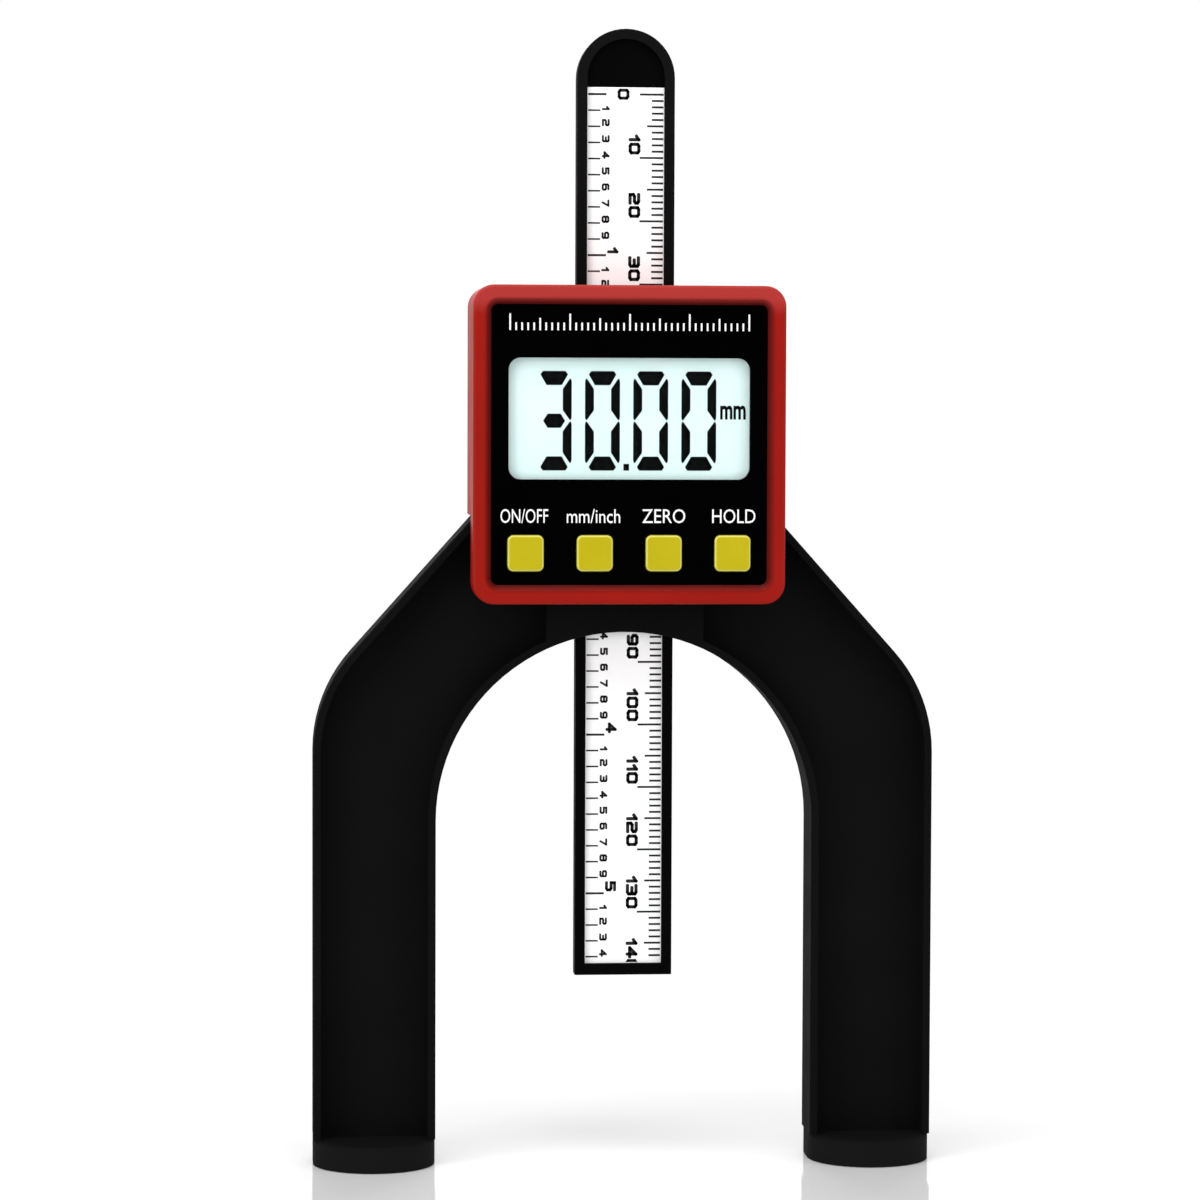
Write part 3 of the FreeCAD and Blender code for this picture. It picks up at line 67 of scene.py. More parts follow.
class Look:
    """A node material in the making."""

    def __init__(self, name):
        self.material = bpy.data.materials.new(name)
        self.material.use_nodes = True
        self.tree = self.material.node_tree
        self.shader = self.tree.nodes["Principled BSDF"]
        self.coordinates = self.tree.nodes.new("ShaderNodeTexCoord")
        self.place = self.coordinates.outputs["Object"]

    def set(self, **values):
        """Constant values on the shader's own sockets."""
        for key, value in values.items():
            self.shader.inputs[key.replace("_", " ")].default_value = value

    def node(self, kind, **values):
        """New node with values for its sockets."""
        made = self.tree.nodes.new(kind)
        for key, value in values.items():
            made.inputs[key].default_value = value
        return made

    def link(self, source, target):
        """Join two sockets."""
        self.tree.links.new(source, target)

    def feed(self, source, socket):
        """Join a value to one of the shader's sockets."""
        self.link(source, self.shader.inputs[socket])

    def noise(self, size_mm, detail=3.0, rough=0.5, stretch=(1.0, 1.0, 1.0)):
        """Noise whose marks are size_mm across before the stretch."""
        mapping = self.node("ShaderNodeMapping", Scale=stretch)
        self.link(self.place, mapping.inputs["Vector"])
        scale = 1.0 / (size_mm * MM)
        noise = self.node("ShaderNodeTexNoise", Scale=scale, Detail=detail, Roughness=rough)
        self.link(mapping.outputs["Vector"], noise.inputs["Vector"])
        return noise.outputs["Fac"]

    def blend(self, factor, low, high):
        """Colour between two colours, by the factor's middle range."""
        ramp = self.tree.nodes.new("ShaderNodeValToRGB")
        first, last = ramp.color_ramp.elements
        first.position, last.position = MIDDLE_RANGE
        first.color, last.color = (*low, 1.0), (*high, 1.0)
        self.link(factor, ramp.inputs["Fac"])
        return ramp.outputs["Color"]

    def spread(self, factor, low, high, reach=None):
        """Value between two values, by the factor's middle range or another reach."""
        span = self.tree.nodes.new("ShaderNodeMapRange")
        for socket, value in zip(span.inputs[1:5], (*(reach or MIDDLE_RANGE), low, high)):
            socket.default_value = value
        self.link(factor, span.inputs["Value"])
        return span.outputs["Result"]

    def bump(self, height, depth, strength):
        """Fine relief of one depth."""
        bump = self.node("ShaderNodeBump", Strength=strength, Distance=depth)
        self.link(height, bump.inputs["Height"])
        self.feed(bump.outputs["Normal"], "Normal")

    def vector(self, operation, first, second=(0.0, 0.0, 0.0), output="Vector"):
        """Result of a vector math node for two sockets or vectors."""
        made = self.tree.nodes.new("ShaderNodeVectorMath")
        made.operation = operation
        for socket, value in zip(made.inputs, (first, second)):
            if isinstance(value, bpy.types.NodeSocket):
                self.link(value, socket)
            else:
                socket.default_value = value
        return made.outputs[output]

    def axis(self, source, letter):
        """One coordinate of a vector."""
        axes = self.node("ShaderNodeSeparateXYZ")
        self.link(source, axes.inputs["Vector"])
        return axes.outputs[letter]

    def second_colour(self, factor, colour):
        """Other colour where the factor is 1."""
        base = self.shader.inputs["Base Color"]
        under = base.links[0].from_socket
        over = self.tree.nodes.new("ShaderNodeMixRGB")
        self.link(factor, over.inputs["Fac"])
        self.link(under, over.inputs["Color1"])
        over.inputs["Color2"].default_value = (*colour, 1.0)
        self.link(over.outputs["Color"], base)


def calculate(tree, operation, first, second=0.0):
    """Result socket of a math node for two sockets or numbers."""
    made = tree.nodes.new("ShaderNodeMath")
    made.operation = operation
    for socket, value in zip(made.inputs, (first, second)):
        if isinstance(value, float):
            socket.default_value = value
        else:
            tree.links.new(value, socket)
    return made.outputs["Value"]


def seen_directly(tree):
    """1 for rays from the camera, from a reflection or through glass; else 0."""
    ray = tree.nodes.new("ShaderNodeLightPath")
    mirrored = calculate(tree, "MAXIMUM", ray.outputs["Is Camera Ray"], ray.outputs["Is Glossy Ray"])
    return calculate(tree, "MAXIMUM", mirrored, ray.outputs["Is Transmission Ray"])


def moulded(name, low, high, rough, grain_mm=0.22, grain_depth=0.006, cloud_mm=14.0, **values):
    """Moulded plastic: fine spark texture, faint flow clouds and uneven gloss."""
    look = Look(name)
    look.set(**values)
    look.feed(look.blend(look.noise(cloud_mm, detail=4.0), low, high), "Base Color")
    look.feed(look.spread(look.noise(cloud_mm / 2), *rough), "Roughness")
    look.bump(look.noise(grain_mm, detail=2.0, rough=0.6), grain_depth * MM, strength=0.6)
    return look


def metal(name, low, high, rough, stretch, scratch_mm=0.5):
    """Plated or turned metal with fine marks along one way."""
    look = Look(name)
    look.set(Metallic=1.0)
    marks = look.noise(scratch_mm, detail=4.0, rough=0.6, stretch=stretch)
    look.feed(look.blend(marks, low, high), "Base Color")
    look.feed(look.spread(marks, *rough), "Roughness")
    look.bump(marks, depth=0.003 * MM, strength=0.5)
    return look


def stand_black():
    """Black moulded stand with a painted highlight that makes its feet a little paler than its legs."""
    look = moulded("stand_black", (0.0037, 0.0037, 0.0037), (0.0048, 0.0048, 0.0049), (0.66, 0.78),
                   Specular_IOR_Level=0.02)
    # Painted highlight: the feet are paler, as if catching light.
    foot = look.spread(look.axis(look.place, "Z"), 1.0, 0.0, FOOT_HIGHLIGHT_FADE)
    look.second_colour(foot, (0.0071, 0.0071, 0.0071))
    return look


def case_red():
    """Red moulded case with painted light that makes its top paler, and painted shade that darkens the
    bevel round the face panel.
    """
    look = moulded("case_red", (0.26, 0.0055, 0.0018), (0.295, 0.0068, 0.0024), (0.44, 0.54),
                   grain_mm=0.2, grain_depth=0.004, Specular_IOR_Level=0.1)
    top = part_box("display_case")[1][2]
    reach = [top - depth for depth in TOP_LIGHT_FADE]
    # Painted light: the case's top is paler, as if lit from above.
    painted_top_light = look.spread(look.axis(look.place, "Z"), 0.0, 1.0, reach)
    look.second_colour(painted_top_light, (0.37, 0.03, 0.026))
    low, high = (Vector(corner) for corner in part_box("face_panel"))
    middle, half = (low + high) / 2, (high - low) / 2
    inner = half - Vector((BEVEL_CORNER, 0.0, BEVEL_CORNER))
    point = look.vector("SUBTRACT", look.place, middle)
    point = look.vector("ABSOLUTE", look.vector("MULTIPLY", point, (1.0, 0.0, 1.0)))
    beyond = look.vector("SUBTRACT", point, inner * Vector((1.0, 0.0, 1.0)))
    beyond = look.vector("MAXIMUM", beyond, (0.0, 0.0, 0.0))
    away = look.vector("LENGTH", beyond, output="Value")
    # Painted shade: the bevel round the face panel is darkened as if shaded in the recess.
    look.second_colour(look.spread(away, 1.0, 0.0, BEVEL_SHADE_FADE), (0.075, 0.0008, 0.0005))
    return look


def beam_black():
    """Deep black beam with a painted highlight that makes its raised rim a little paler towards its round
    top.
    """
    look = moulded("beam_black", (0.0008, 0.0008, 0.0008), (0.0014, 0.0014, 0.0014), (0.5, 0.62),
                   grain_mm=0.18, grain_depth=0.004, Specular_IOR_Level=0.015)
    corners = [Vector(corner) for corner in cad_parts["beam"].bound_box]
    front = min(corner.y for corner in corners)
    top = max(corner.z for corner in corners)
    rim = look.spread(look.axis(look.place, "Y"), 1.0, 0.0, [front + depth for depth in RIM_HIGHLIGHT_FADE])
    upper = look.spread(look.axis(look.place, "Z"), 0.0, 1.0, [top - depth for depth in UPPER_HIGHLIGHT_FADE])
    # Painted highlight: the rim is paler near the round top, as if catching light.
    look.second_colour(calculate(look.tree, "MULTIPLY", rim, upper), (0.0052, 0.0052, 0.0052))
    return look


def key_yellow():
    """Yellow moulded keys with a painted highlight, paler where their edges turn away from the front."""
    look = moulded("key_yellow", (0.44, 0.37, 0.0025), (0.47, 0.395, 0.004), (0.45, 0.55),
                   grain_mm=0.16, grain_depth=0.004, cloud_mm=6.0, Specular_IOR_Level=0.15)
    # Painted highlight: edges that turn away from the front are paler, as if reflecting a bright room.
    turn = calculate(look.tree, "ABSOLUTE", look.axis(look.coordinates.outputs["Normal"], "Y"))
    look.second_colour(look.spread(turn, 1.0, 0.0, EDGE_HIGHLIGHT_FADE), (0.66, 0.62, 0.12))
    return look


def board_green():
    """Solder resist over faint copper tracks."""
    look = Look("green_board")
    tracks = look.node("ShaderNodeTexBrick", **{
        "Scale": 420.0, "Mortar Size": 0.03, "Color1": (0.012, 0.1, 0.035, 1.0),
        "Color2": (0.016, 0.13, 0.045, 1.0), "Mortar": (0.03, 0.2, 0.07, 1.0)})
    look.link(look.place, tracks.inputs["Vector"])
    look.feed(tracks.outputs["Color"], "Base Color")
    look.feed(look.spread(look.noise(2.0), 0.28, 0.4), "Roughness")
    return look


def zebra_layers():
    """Thin dark and light rubber layers across the strip."""
    look = Look("zebra_layers")
    wave = look.node("ShaderNodeTexWave", Scale=900.0)
    look.link(look.place, wave.inputs["Vector"])
    look.feed(look.blend(wave.outputs["Fac"], (0.03, 0.03, 0.03), (0.6, 0.52, 0.5)), "Base Color")
    look.set(Roughness=0.7)
    return look


def clear_window():
    """Clear moulded window with faint surface marks."""
    look = Look("clear_window")
    look.set(Alpha=0.03, IOR=1.49, Specular_IOR_Level=0.25)
    look.feed(look.blend(look.noise(6.0), (0.03, 0.04, 0.04), (0.05, 0.06, 0.06)), "Base Color")
    look.feed(look.spread(look.noise(3.0), 0.04, 0.09), "Roughness")
    return look


def printed(name, low, high, rough=(0.5, 0.65), **values):
    """Printed ink or film with slightly uneven cover."""
    look = Look(name)
    look.set(**values)
    look.feed(look.blend(look.noise(0.5), low, high), "Base Color")
    look.feed(look.spread(look.noise(1.0), *rough), "Roughness")
    return look


STAND = stand_black()
BEAM = beam_black()
RED = case_red()
PANEL = moulded("panel_gloss", (0.0001, 0.0001, 0.0001), (0.0003, 0.0003, 0.0003), (0.16, 0.24),
                grain_mm=0.5, grain_depth=0.0008, cloud_mm=20.0, Specular_IOR_Level=0.006)
YELLOW = key_yellow()
FILM = moulded("scale_film", (0.95, 0.95, 0.955), (0.98, 0.98, 0.98), (0.4, 0.5),
               grain_mm=0.4, grain_depth=0.001, cloud_mm=8.0, Specular_IOR_Level=0.25)
HOLDER = moulded("holder_white", (0.7, 0.7, 0.68), (0.78, 0.78, 0.76), (0.4, 0.5))
INNER = moulded("inner_black", (0.012, 0.012, 0.012), (0.02, 0.02, 0.02), (0.4, 0.5))
KNOB = moulded("knob_black", (0.008, 0.008, 0.0083), (0.012, 0.012, 0.0125), (0.42, 0.52),
               Specular_IOR_Level=0.3)
STEEL = metal("plated_steel", (0.5, 0.5, 0.51), (0.62, 0.62, 0.63), (0.22, 0.34), (1.0, 1.0, 6.0))
SPRING = metal("spring_steel", (0.42, 0.43, 0.45), (0.55, 0.55, 0.57), (0.25, 0.38), (6.0, 1.0, 1.0))
BRASS = metal("turned_brass", (0.62, 0.45, 0.18), (0.75, 0.57, 0.26), (0.2, 0.32), (1.0, 8.0, 1.0))
NICKEL = metal("nickel_plate", (0.6, 0.59, 0.56), (0.7, 0.69, 0.66), (0.14, 0.26), (1.0, 1.0, 1.0),
               scratch_mm=1.5)
BOARD = board_green()
ZEBRA = zebra_layers()
WINDOW = clear_window()
LCD = moulded("lcd_ground", (0.74, 0.965, 0.94), (0.79, 0.985, 0.965), (0.33, 0.4),
              grain_mm=0.1, grain_depth=0.001, cloud_mm=9.0, Specular_IOR_Level=0.3)
SEGMENT = printed("segment_black", (0.0002, 0.0002, 0.0003), (0.0005, 0.0005, 0.0006),
                  Specular_IOR_Level=0.01)
PRINT = printed("scale_ink", (0.006, 0.006, 0.006), (0.014, 0.014, 0.014), Specular_IOR_Level=0.2)
LABEL = printed("label_white", (0.84, 0.84, 0.84), (0.92, 0.92, 0.92))

LOOKS = (
    (STAND, ["stand_frame"]),
    (BEAM, ["beam"]),
    (RED, ["display_case"]),
    (PANEL, ["face_panel"]),
    (FILM, ["scale_strip"]),
    (HOLDER, ["lcd_holder"]),
    (KNOB, ["lock_knob", "battery_cap"]),
    (BOARD, ["main_board", "sensor_board", "scale_board"]),
    (ZEBRA, ["zebra_strip_upper", "zebra_strip_lower"]),
    (WINDOW, ["display_window"]),
    (LCD, ["lcd_cell"]),
    (SPRING, ["drag_spring", "battery_contact_negative", "battery_contact_positive"]),
    (STEEL, ["lock_screw", "housing_screws", "board_screws", "battery"]),
    (BRASS, ["lock_insert", "lock_pad"]),
    (NICKEL, ["magnet_%s_%s" % (side, end) for side in ("left", "right") for end in ("front", "rear")]),
    (INNER, ["pin_header", "controller_chip"]),
    (INNER, [key + part for key in KEYS for part in ("_plunger", "_switch")]),
    (YELLOW, [key + "_button" for key in KEYS]),
)
for look, nodes in LOOKS:
    for node in nodes:
        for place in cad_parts[node].material_slots:
            place.material = look.material

# Piece making


def finish_piece(name, mesh, body, look):
    """Piece from a bmesh that rides on a body."""
    bmesh.ops.recalc_face_normals(mesh, faces=mesh.faces)
    data = bpy.data.meshes.new(name)
    mesh.to_mesh(data)
    mesh.free()
    piece = bpy.data.objects.new(name, data)
    bpy.context.scene.collection.objects.link(piece)
    data.materials.append(look.material)
    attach(piece, body)


def plate(mesh, corners, front, thick):
    """Thin flat prism from corners in millimetres, seen from the front."""
    near = [mesh.verts.new((x * MM, front * MM, z * MM)) for x, z in corners]
    far = [mesh.verts.new((x * MM, (front + thick) * MM, z * MM)) for x, z in corners]
    mesh.faces.new(near)
    mesh.faces.new(list(reversed(far)))
    for i in range(len(near)):
        j = (i + 1) % len(near)
        mesh.faces.new((near[i], near[j], far[j], far[i]))


def bar(mesh, x0, x1, z0, z1, front, thick):
    """Thin rectangle."""
    plate(mesh, [(x0, z0), (x1, z0), (x1, z1), (x0, z1)], front, thick)


# Scale print

STRIP = [c / MM for c in (*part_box("scale_strip")[0], *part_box("scale_strip")[1])]
STRIP_LEFT, STRIP_FRONT, STRIP_LOW, STRIP_RIGHT = STRIP[:4]
INK_THICK = 0.012
INK_FRONT = STRIP_FRONT - INK_THICK

# Height of the zero line, room left at the strip's sides and under its last line, and least height of a
# stroke that the strip's end cuts off
ZERO_HEIGHT = 170.0
EDGE_GAP = 0.12
LAST_ROOM = 0.4
SMALLEST_CUT = 0.02

# Distance of the lines on the inch side, last printed number on each side
TENTH_INCH = 2.54
LAST_NUMBER = 140
LAST_TENTH = 54

# Lengths of the lines of ten, five and one millimetre, and their half thickness
TEN_LINE, FIVE_LINE, ONE_LINE = 3.75, 2.6, 1.85
METRIC_HALF = 0.16

# Length and half thickness of the lines of a whole inch and of a tenth
INCH_LINE, INCH_HALF = 2.9, 0.17
TENTH_LINE, TENTH_HALF = 1.95, 0.13

# Centre lines of each digit in a 4 x 6 grid, with x to the right and y up
STROKES = {
    "0": [(0.8, 0, 3.2, 0), (0.8, 6, 3.2, 6), (0, 0.8, 0, 5.2), (4, 0.8, 4, 5.2), (0.8, 0, 0, 0.8),
          (3.2, 0, 4, 0.8), (0.8, 6, 0, 5.2), (3.2, 6, 4, 5.2)],
    "1": [(4, 0, 4, 6), (4, 6, 0, 4.3)],
    "2": [(0, 6, 3.2, 6), (3.2, 6, 4, 5.2), (4, 5.2, 4, 3.9), (4, 3.9, 3.2, 3.1), (3.2, 3.1, 0.8, 3.1),
          (0.8, 3.1, 0, 2.3), (0, 2.3, 0, 0), (0, 0, 4, 0)],
    "3": [(0, 6, 3.2, 6), (3.2, 6, 4, 5.2), (4, 5.2, 4, 3.9), (4, 3.9, 3.2, 3.1), (3.2, 3.1, 1, 3.1),
          (3.2, 3.1, 4, 2.3), (4, 2.3, 4, 0.8), (4, 0.8, 3.2, 0), (3.2, 0, 0, 0)],
    "4": [(3, 0, 3, 6), (3, 6, 0, 1.7), (0, 1.7, 4.3, 1.7)],
    "5": [(4, 6, 0, 6), (0, 6, 0, 3.4), (0, 3.4, 3.2, 3.4), (3.2, 3.4, 4, 2.6), (4, 2.6, 4, 0.8),
          (4, 0.8, 3.2, 0), (3.2, 0, 0, 0)],
    "6": [(3.6, 6, 0.8, 6), (0.8, 6, 0, 5.2), (0, 5.2, 0, 0.8), (0, 0.8, 0.8, 0), (0.8, 0, 3.2, 0),
          (3.2, 0, 4, 0.8), (4, 0.8, 4, 2.6), (4, 2.6, 3.2, 3.4), (3.2, 3.4, 0, 3.4)],
    "7": [(0, 6, 4, 6), (4, 6, 1.4, 0)],
    "8": [(0.8, 0, 3.2, 0), (0.8, 6, 3.2, 6), (0.8, 3.2, 3.2, 3.2), (0, 0.8, 0, 2.5), (0, 3.9, 0, 5.2),
          (4, 0.8, 4, 2.5), (4, 3.9, 4, 5.2), (0.8, 0, 0, 0.8), (3.2, 0, 4, 0.8), (0.8, 6, 0, 5.2),
          (3.2, 6, 4, 5.2), (0, 2.5, 0.8, 3.2), (0, 3.9, 0.8, 3.2), (4, 2.5, 3.2, 3.2), (4, 3.9, 3.2, 3.2)],
    "9": [(0.4, 0, 3.2, 0), (3.2, 0, 4, 0.8), (4, 0.8, 4, 5.2), (4, 5.2, 3.2, 6), (3.2, 6, 0.8, 6),
          (0.8, 6, 0, 5.2), (0, 5.2, 0, 3.4), (0, 3.4, 0.8, 2.6), (0.8, 2.6, 4, 2.6)],
}
GRID_HEIGHT = 6.0
GRID_WIDTH = 4.0

# Width of a 1 by that of the other digits, and how much of a stroke's half weight its cut corners take
ONE_WIDTH = 0.42
CORNER_CUT = 0.6


def stroke_ends(text, height, width, gap):
    """Centre lines of a whole number, from its left end, in millimetres."""
    lines = []
    at = 0.0
    for sign in text:
        wide = width * ONE_WIDTH if sign == "1" else width
        for x0, y0, x1, y1 in STROKES[sign]:
            lines.append((at + x0 / GRID_WIDTH * wide, y0 / GRID_HEIGHT * height,
                          at + x1 / GRID_WIDTH * wide, y1 / GRID_HEIGHT * height))
        at += wide + gap
    return lines, at - gap


def print_number(mesh, text, centre_x, end_z, height, width, gap, weight):
    """Number that reads downwards to end_z, with its top towards +X."""
    height -= weight
    lines, length = stroke_ends(text, height, width - weight, gap + weight)
    left = centre_x - height / 2
    top = end_z + length + weight / 2
    lowest = STRIP_LOW + EDGE_GAP
    for u0, v0, u1, v1 in lines:
        a = Vector((left + v0, top - u0))
        b = Vector((left + v1, top - u1))
        along = (b - a).normalized() * (weight / 2)
        across = Vector((-along.y, along.x))
        cut = along * CORNER_CUT
        inner = across * CORNER_CUT
        start, stop = a - along, b + along
        corners = [start + inner, start - inner, start + cut - across, stop - cut - across,
                   stop - inner, stop + inner, stop - cut + across, start + cut + across]
        kept = [(x, max(z, lowest)) for x, z in corners]
        if max(z for _, z in kept) - lowest < SMALLEST_CUT:
            continue
        plate(mesh, kept, INK_FRONT, INK_THICK)


def scale_ticks():
    """Millimetre lines at the strip's right side and tenths of an inch at its left."""
    mesh = bmesh.new()
    reach = ZERO_HEIGHT - STRIP_LOW - LAST_ROOM
    right = STRIP_RIGHT - EDGE_GAP
    for k in range(int(reach) + 1):
        z = ZERO_HEIGHT - k
        length = ONE_LINE
        if k % 5 == 0:
            length = FIVE_LINE
        if k % 10 == 0:
            length = TEN_LINE
        bar(mesh, right - length, right, z - METRIC_HALF, z + METRIC_HALF, INK_FRONT, INK_THICK)
    left = STRIP_LEFT + EDGE_GAP
    for j in range(int(reach / TENTH_INCH) + 1):
        z = ZERO_HEIGHT - j * TENTH_INCH
        length, half = (TENTH_LINE, TENTH_HALF) if j % 10 else (INCH_LINE, INCH_HALF)
        bar(mesh, left, left + length, z - half, z + half, INK_FRONT, INK_THICK)
    finish_piece("scale_ticks", mesh, "beam", PRINT)


# Each kind of number: middle across the strip, rise over its line, height, width of a digit, gap, weight
ZERO_PRINT = (-0.38, -0.85, 1.9, 1.75, 0.4, 0.5)
TENS_PRINT = (1.4, 0.53, 1.9, 1.87, 0.2, 0.53)
INCH_PRINT = (-2.0, 0.3, 1.78, 1.63, 0.3, 0.48)
TENTH_PRINT = (-3.18, 0.02, 1.24, 1.15, 0.2, 0.33)


def scale_numbers():
    """Millimetres, whole inches and tenths beside their lines."""
    rows = [("0", 0.0, ZERO_PRINT)]
    rows += [(str(k), float(k), TENS_PRINT) for k in range(10, LAST_NUMBER + 1, 10)]
    for j in range(1, LAST_TENTH + 1):
        text, kind = (str(j % 10), TENTH_PRINT) if j % 10 else (str(j // 10), INCH_PRINT)
        rows.append((text, j * TENTH_INCH, kind))
    mesh = bmesh.new()
    for text, below_zero, (middle, rise, height, width, gap, weight) in rows:
        print_number(mesh, text, middle, ZERO_HEIGHT - below_zero + rise, height, width, gap, weight)
    finish_piece("scale_numbers", mesh, "beam", PRINT)


scale_ticks()
scale_numbers()

# Display digits

CELL_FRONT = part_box("lcd_cell")[0][1] / MM
SEGMENT_THICK = 0.02
SEGMENT_GAP = 0.01
SEGMENT_FRONT = CELL_FRONT - SEGMENT_THICK - SEGMENT_GAP
WINDOW_BOX = [[c / MM for c in corner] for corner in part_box("display_window")]
WINDOW_X = (WINDOW_BOX[0][0] + WINDOW_BOX[1][0]) / 2
WINDOW_Z = (WINDOW_BOX[0][2] + WINDOW_BOX[1][2]) / 2
DIGIT_HIGH = 15.58
DIGIT_WIDE = 5.5
DIGIT_PITCH = 7.6
DIGIT_DROP = 0.34
DIGIT_LOW = WINDOW_Z - DIGIT_HIGH / 2 - DIGIT_DROP

# First digit's left side from the window's middle, and the point's middle from the second digit's left
FIRST_DIGIT = -14.55
POINT_SHIFT = 6.52
POINT_WIDE = 0.88
POINT_HIGH = 1.05

# Corners of the upper, the middle and the upper right segment, from the digit's lower left corner
LEVEL_SEGMENT = [(0.98, 15.58), (0.59, 15.05), (1.55, 13.38), (3.95, 13.38), (4.91, 15.05),
                 (4.52, 15.58)]
MIDDLE_SEGMENT = [(1.02, 7.79), (1.72, 8.9), (3.78, 8.9), (4.48, 7.79), (3.78, 6.68), (1.72, 6.68)]
UPRIGHT_SEGMENT = [(5.22, 14.42), (5.4, 14.32), (5.5, 13.9), (5.5, 8.35), (5.4, 7.96), (5.22, 7.9),
                   (4.1, 9.45), (4.1, 12.77)]


def turned(corners, mirror, flip):
    """Corners of a segment, mirrored to the digit's left side or flipped to its lower half."""
    return [(DIGIT_WIDE - x if mirror else x, DIGIT_HIGH - z if flip else z) for x, z in corners]


SEGMENTS = {
    "top": LEVEL_SEGMENT,
    "low": turned(LEVEL_SEGMENT, False, True),
    "middle": MIDDLE_SEGMENT,
    "upper_right": UPRIGHT_SEGMENT,
    "upper_left": turned(UPRIGHT_SEGMENT, True, False),
    "lower_right": turned(UPRIGHT_SEGMENT, False, True),
    "lower_left": turned(UPRIGHT_SEGMENT, True, True),
}
LIT = {
    "3": ("top", "upper_right", "middle", "lower_right", "low"),
    "0": ("top", "upper_right", "lower_right", "low", "lower_left", "upper_left"),
}


def display_digits():
    """Lit segments of the reading and its decimal point."""
    mesh = bmesh.new()
    for index, sign in enumerate("3000"):
        left = WINDOW_X + FIRST_DIGIT + DIGIT_PITCH * index
        for name in LIT[sign]:
            corners = [(left + x, DIGIT_LOW + z) for x, z in SEGMENTS[name]]
            plate(mesh, corners, SEGMENT_FRONT, SEGMENT_THICK)
    point = WINDOW_X + FIRST_DIGIT + DIGIT_PITCH + POINT_SHIFT - POINT_WIDE / 2
    bar(mesh, point, point + POINT_WIDE, DIGIT_LOW, DIGIT_LOW + POINT_HIGH, SEGMENT_FRONT, SEGMENT_THICK)
    finish_piece("display_digits", mesh, "stand", SEGMENT)


display_digits()

# Lettering

# Height of a capital in the plain font, and steps of its curves
FONT_CAPITAL = 0.7
CURVE_STEPS = 3
LETTER_THICK = 0.015
PANEL_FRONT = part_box("face_panel")[0][1] / MM
PANEL_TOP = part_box("face_panel")[1][2] / MM
LABEL_RISE = 5.87
LABEL_CAP = 2.2

# Word over each key, its width and its shift from the key's middle
WORDS = {"power": ("ON/OFF", 7.5, -0.2), "units": ("mm/inch", 8.4, -0.2), "zero": ("ZERO", 6.8, 0.0),
         "hold": ("HOLD", 6.85, 0.2)}

# Place of the unit from the window's middle, its height and width, and how much its lines are thickened
UNIT_RIGHT, UNIT_RISE, UNIT_CAP, UNIT_WIDE = 16.4, 1.55, 3.0, 4.05
UNIT_BOLD = 0.028


def lettering(name, text, centre_x, centre_z, cap_height, width, front, thick, look, bold=0.0):
    """Plain lettering fitted to a width, seen from the front; sizes in millimetres."""
    curve = bpy.data.curves.new(name + "_outline", "FONT")
    curve.body = text
    curve.resolution_u = CURVE_STEPS
    curve.offset = bold
    curve.extrude = thick * MM / 2
    source = bpy.data.objects.new(name + "_source", curve)
    bpy.context.scene.collection.objects.link(source)
    bpy.context.view_layer.update()
    data = bpy.data.meshes.new_from_object(source)
    bpy.data.objects.remove(source)
    data.name = name
    data.materials.clear()
    data.materials.append(look.material)
    xs = [v.co.x for v in data.vertices]
    scale_y = cap_height * MM / FONT_CAPITAL
    scale_x = width * MM / (max(xs) - min(xs))
    middle = (max(xs) + min(xs)) / 2
    for v in data.vertices:
        x, y, z = v.co
        v.co = ((x - middle) * scale_x + centre_x * MM, (front + thick / 2) * MM - z,
                (y - FONT_CAPITAL / 2) * scale_y + centre_z * MM)
    piece = bpy.data.objects.new(name, data)
    bpy.context.scene.collection.objects.link(piece)
    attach(piece, "stand")


for key, (word, width, shift) in WORDS.items():
    low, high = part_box(key + "_button")
    middle_x, middle_z = (low[0] + high[0]) / 2 / MM, (low[2] + high[2]) / 2 / MM
    lettering("label_" + key, word, middle_x + shift, middle_z + LABEL_RISE, LABEL_CAP, width,
              PANEL_FRONT - LETTER_THICK, LETTER_THICK, LABEL)
lettering("unit_mark", "mm", WINDOW_X + UNIT_RIGHT, WINDOW_Z + UNIT_RISE, UNIT_CAP, UNIT_WIDE,
          SEGMENT_FRONT, SEGMENT_THICK, SEGMENT, UNIT_BOLD)

# Row of lines on the face panel: their number, half the row's width, drop of its foot under the panel's
# top, half thickness of a line and the three lengths
ROW_LINES = 41
ROW_HALF = 18.8
ROW_DROP = 4.0
ROW_THIN = 0.13
ROW_LONG, ROW_MIDDLE, ROW_SHORT = 2.6, 1.9, 1.2


def panel_scale():
    """Plain row of graduation lines along the top of the face panel."""
    mesh = bmesh.new()
    low = PANEL_TOP - ROW_DROP
    front = PANEL_FRONT - LETTER_THICK
    for i in range(ROW_LINES):
        x = ROW_HALF * (2 * i / (ROW_LINES - 1) - 1)
        tall = ROW_SHORT
        if i % 5 == 0:
            tall = ROW_MIDDLE
        if i % 10 == 0:
            tall = ROW_LONG
        bar(mesh, x - ROW_THIN, x + ROW_THIN, low, low + tall, front, LETTER_THICK)
    finish_piece("panel_scale", mesh, "stand", LABEL)


panel_scale()

# Stage

# Point that the lamps and the camera face, half side of the floor and its drop under the soles
MIDDLE = (0.0, 0.0, 0.09)
FLOOR_HALF = 6.0
FLOOR_DROP = 0.0001
ROOM_LIGHT = 0.48

# Glow of the floor near the part, and how it grows to full white further out
NEAR_GLOW = 0.04
FLOOR_FADE = 4.0
FADE_REACH = (0.0, 0.6)

# Name, place, size and power of each lamp; all of them aim at the middle
LAMPS = (
    ("top_lamp", (-0.1, -0.25, 0.75), (0.5, 0.4), 3.4),
    ("left_lamp", (-0.75, -0.5, 0.35), (0.35, 0.6), 3.2),
    ("right_lamp", (0.75, -0.45, 0.3), (0.35, 0.6), 2.35),
    ("rear_lamp", (0.1, 0.7, 0.5), (0.6, 0.4), 3.5),
)


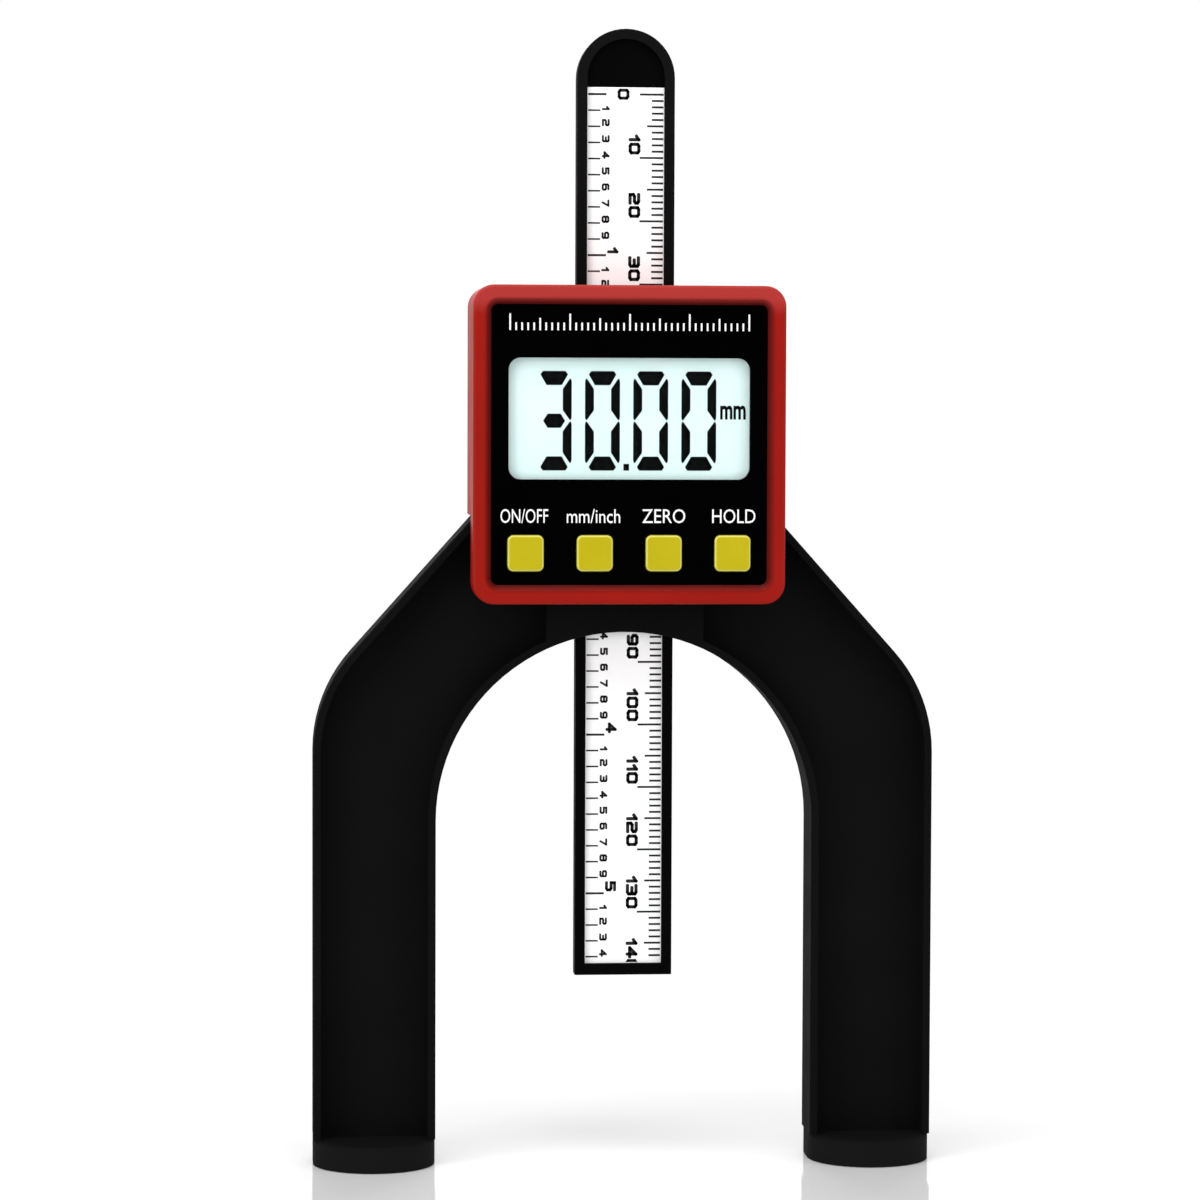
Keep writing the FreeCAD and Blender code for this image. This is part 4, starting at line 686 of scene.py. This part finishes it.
def stage_floor():
    """Wide pale floor that fades into the white background and keeps the shadow."""
    mesh = bmesh.new()
    corners = [(-FLOOR_HALF, -FLOOR_HALF), (FLOOR_HALF, -FLOOR_HALF), (FLOOR_HALF, FLOOR_HALF),
               (-FLOOR_HALF, FLOOR_HALF)]
    mesh.faces.new([mesh.verts.new((x, y, -FLOOR_DROP)) for x, y in corners])
    data = bpy.data.meshes.new("floor")
    mesh.to_mesh(data)
    mesh.free()
    floor = bpy.data.objects.new("floor", data)
    bpy.context.scene.collection.objects.link(floor)
    look = Look("floor_white")
    look.set(Specular_IOR_Level=1.0)
    look.feed(look.blend(look.noise(60.0), (0.87, 0.87, 0.87), (0.89, 0.89, 0.89)), "Base Color")
    look.feed(look.spread(look.noise(40.0), 0.04, 0.07), "Roughness")
    glow = look.node("ShaderNodeEmission", Strength=1.0)
    mapping = look.node("ShaderNodeMapping", Scale=(FLOOR_FADE, FLOOR_FADE, 1.0))
    look.link(look.place, mapping.inputs["Vector"])
    fade = look.tree.nodes.new("ShaderNodeTexGradient")
    fade.gradient_type = "SPHERICAL"
    look.link(mapping.outputs["Vector"], fade.inputs["Vector"])
    share = look.spread(fade.outputs["Fac"], 1.0, NEAR_GLOW, FADE_REACH)
    mix = look.tree.nodes.new("ShaderNodeMixShader")
    look.link(calculate(look.tree, "MULTIPLY", seen_directly(look.tree), share), mix.inputs[0])
    look.link(look.shader.outputs["BSDF"], mix.inputs[1])
    look.link(glow.outputs["Emission"], mix.inputs[2])
    look.link(mix.outputs["Shader"], look.tree.nodes["Material Output"].inputs["Surface"])
    data.materials.append(look.material)


def studio_world():
    """White where it is seen, softer where it only lights."""
    world = bpy.data.worlds.new("studio")
    bpy.context.scene.world = world
    world.use_nodes = True
    tree = world.node_tree
    tree.nodes.clear()
    mix = tree.nodes.new("ShaderNodeMixShader")
    tree.links.new(seen_directly(tree), mix.inputs[0])
    for strength, socket in ((ROOM_LIGHT, mix.inputs[1]), (1.0, mix.inputs[2])):
        background = tree.nodes.new("ShaderNodeBackground")
        background.inputs["Color"].default_value = (1.0, 1.0, 1.0, 1.0)
        background.inputs["Strength"].default_value = strength
        tree.links.new(background.outputs["Background"], socket)
    out = tree.nodes.new("ShaderNodeOutputWorld")
    tree.links.new(mix.outputs["Shader"], out.inputs["Surface"])


def soft_lamp(name, place, size, power):
    """Rectangular lamp that faces the middle."""
    light = bpy.data.lights.new(name, "AREA")
    light.shape = "RECTANGLE"
    light.size, light.size_y = size
    light.energy = power
    lamp = bpy.data.objects.new(name, light)
    lamp.location = place
    lamp.rotation_euler = (Vector(MIDDLE) - Vector(place)).to_track_quat("-Z", "Y").to_euler()
    bpy.context.scene.collection.objects.link(lamp)


stage_floor()
studio_world()
for name, place, size, power in LAMPS:
    soft_lamp(name, place, size, power)

# Camera

# Side of the picture in pixels, scale of the part in it, and the pixel at which its middle lies
IMAGE = 1200.0
PIXELS_PER_METRE = 6255.0
AIM_PIXEL = (622.5, 598.4)
DISTANCE = 0.66
AZIMUTH = math.radians(-5.1)
ELEVATION = math.radians(2.8)
ROLL = math.radians(0.21)
SENSOR = 36.0


def place_camera():
    """Camera of the main picture, framed for a square of 1200 pixels."""
    back = Vector((math.sin(AZIMUTH) * math.cos(ELEVATION), -math.cos(AZIMUTH) * math.cos(ELEVATION),
                   math.sin(ELEVATION)))
    aim = Vector(MIDDLE)
    data = bpy.data.cameras.new("camera")
    camera = bpy.data.objects.new("camera", data)
    bpy.context.scene.collection.objects.link(camera)
    camera.location = aim + back * DISTANCE
    turn = back.to_track_quat("Z", "Y").to_matrix().to_4x4() @ Matrix.Rotation(ROLL, 4, "Z")
    camera.rotation_euler = turn.to_euler()
    data.sensor_width = SENSOR
    data.lens = PIXELS_PER_METRE * DISTANCE / IMAGE * SENSOR
    data.shift_x = -(AIM_PIXEL[0] - IMAGE / 2) / IMAGE
    data.shift_y = (AIM_PIXEL[1] - IMAGE / 2) / IMAGE
    data.clip_start = 0.01
    bpy.context.scene.camera = camera


place_camera()
bpy.context.scene.view_settings.view_transform = "Standard"
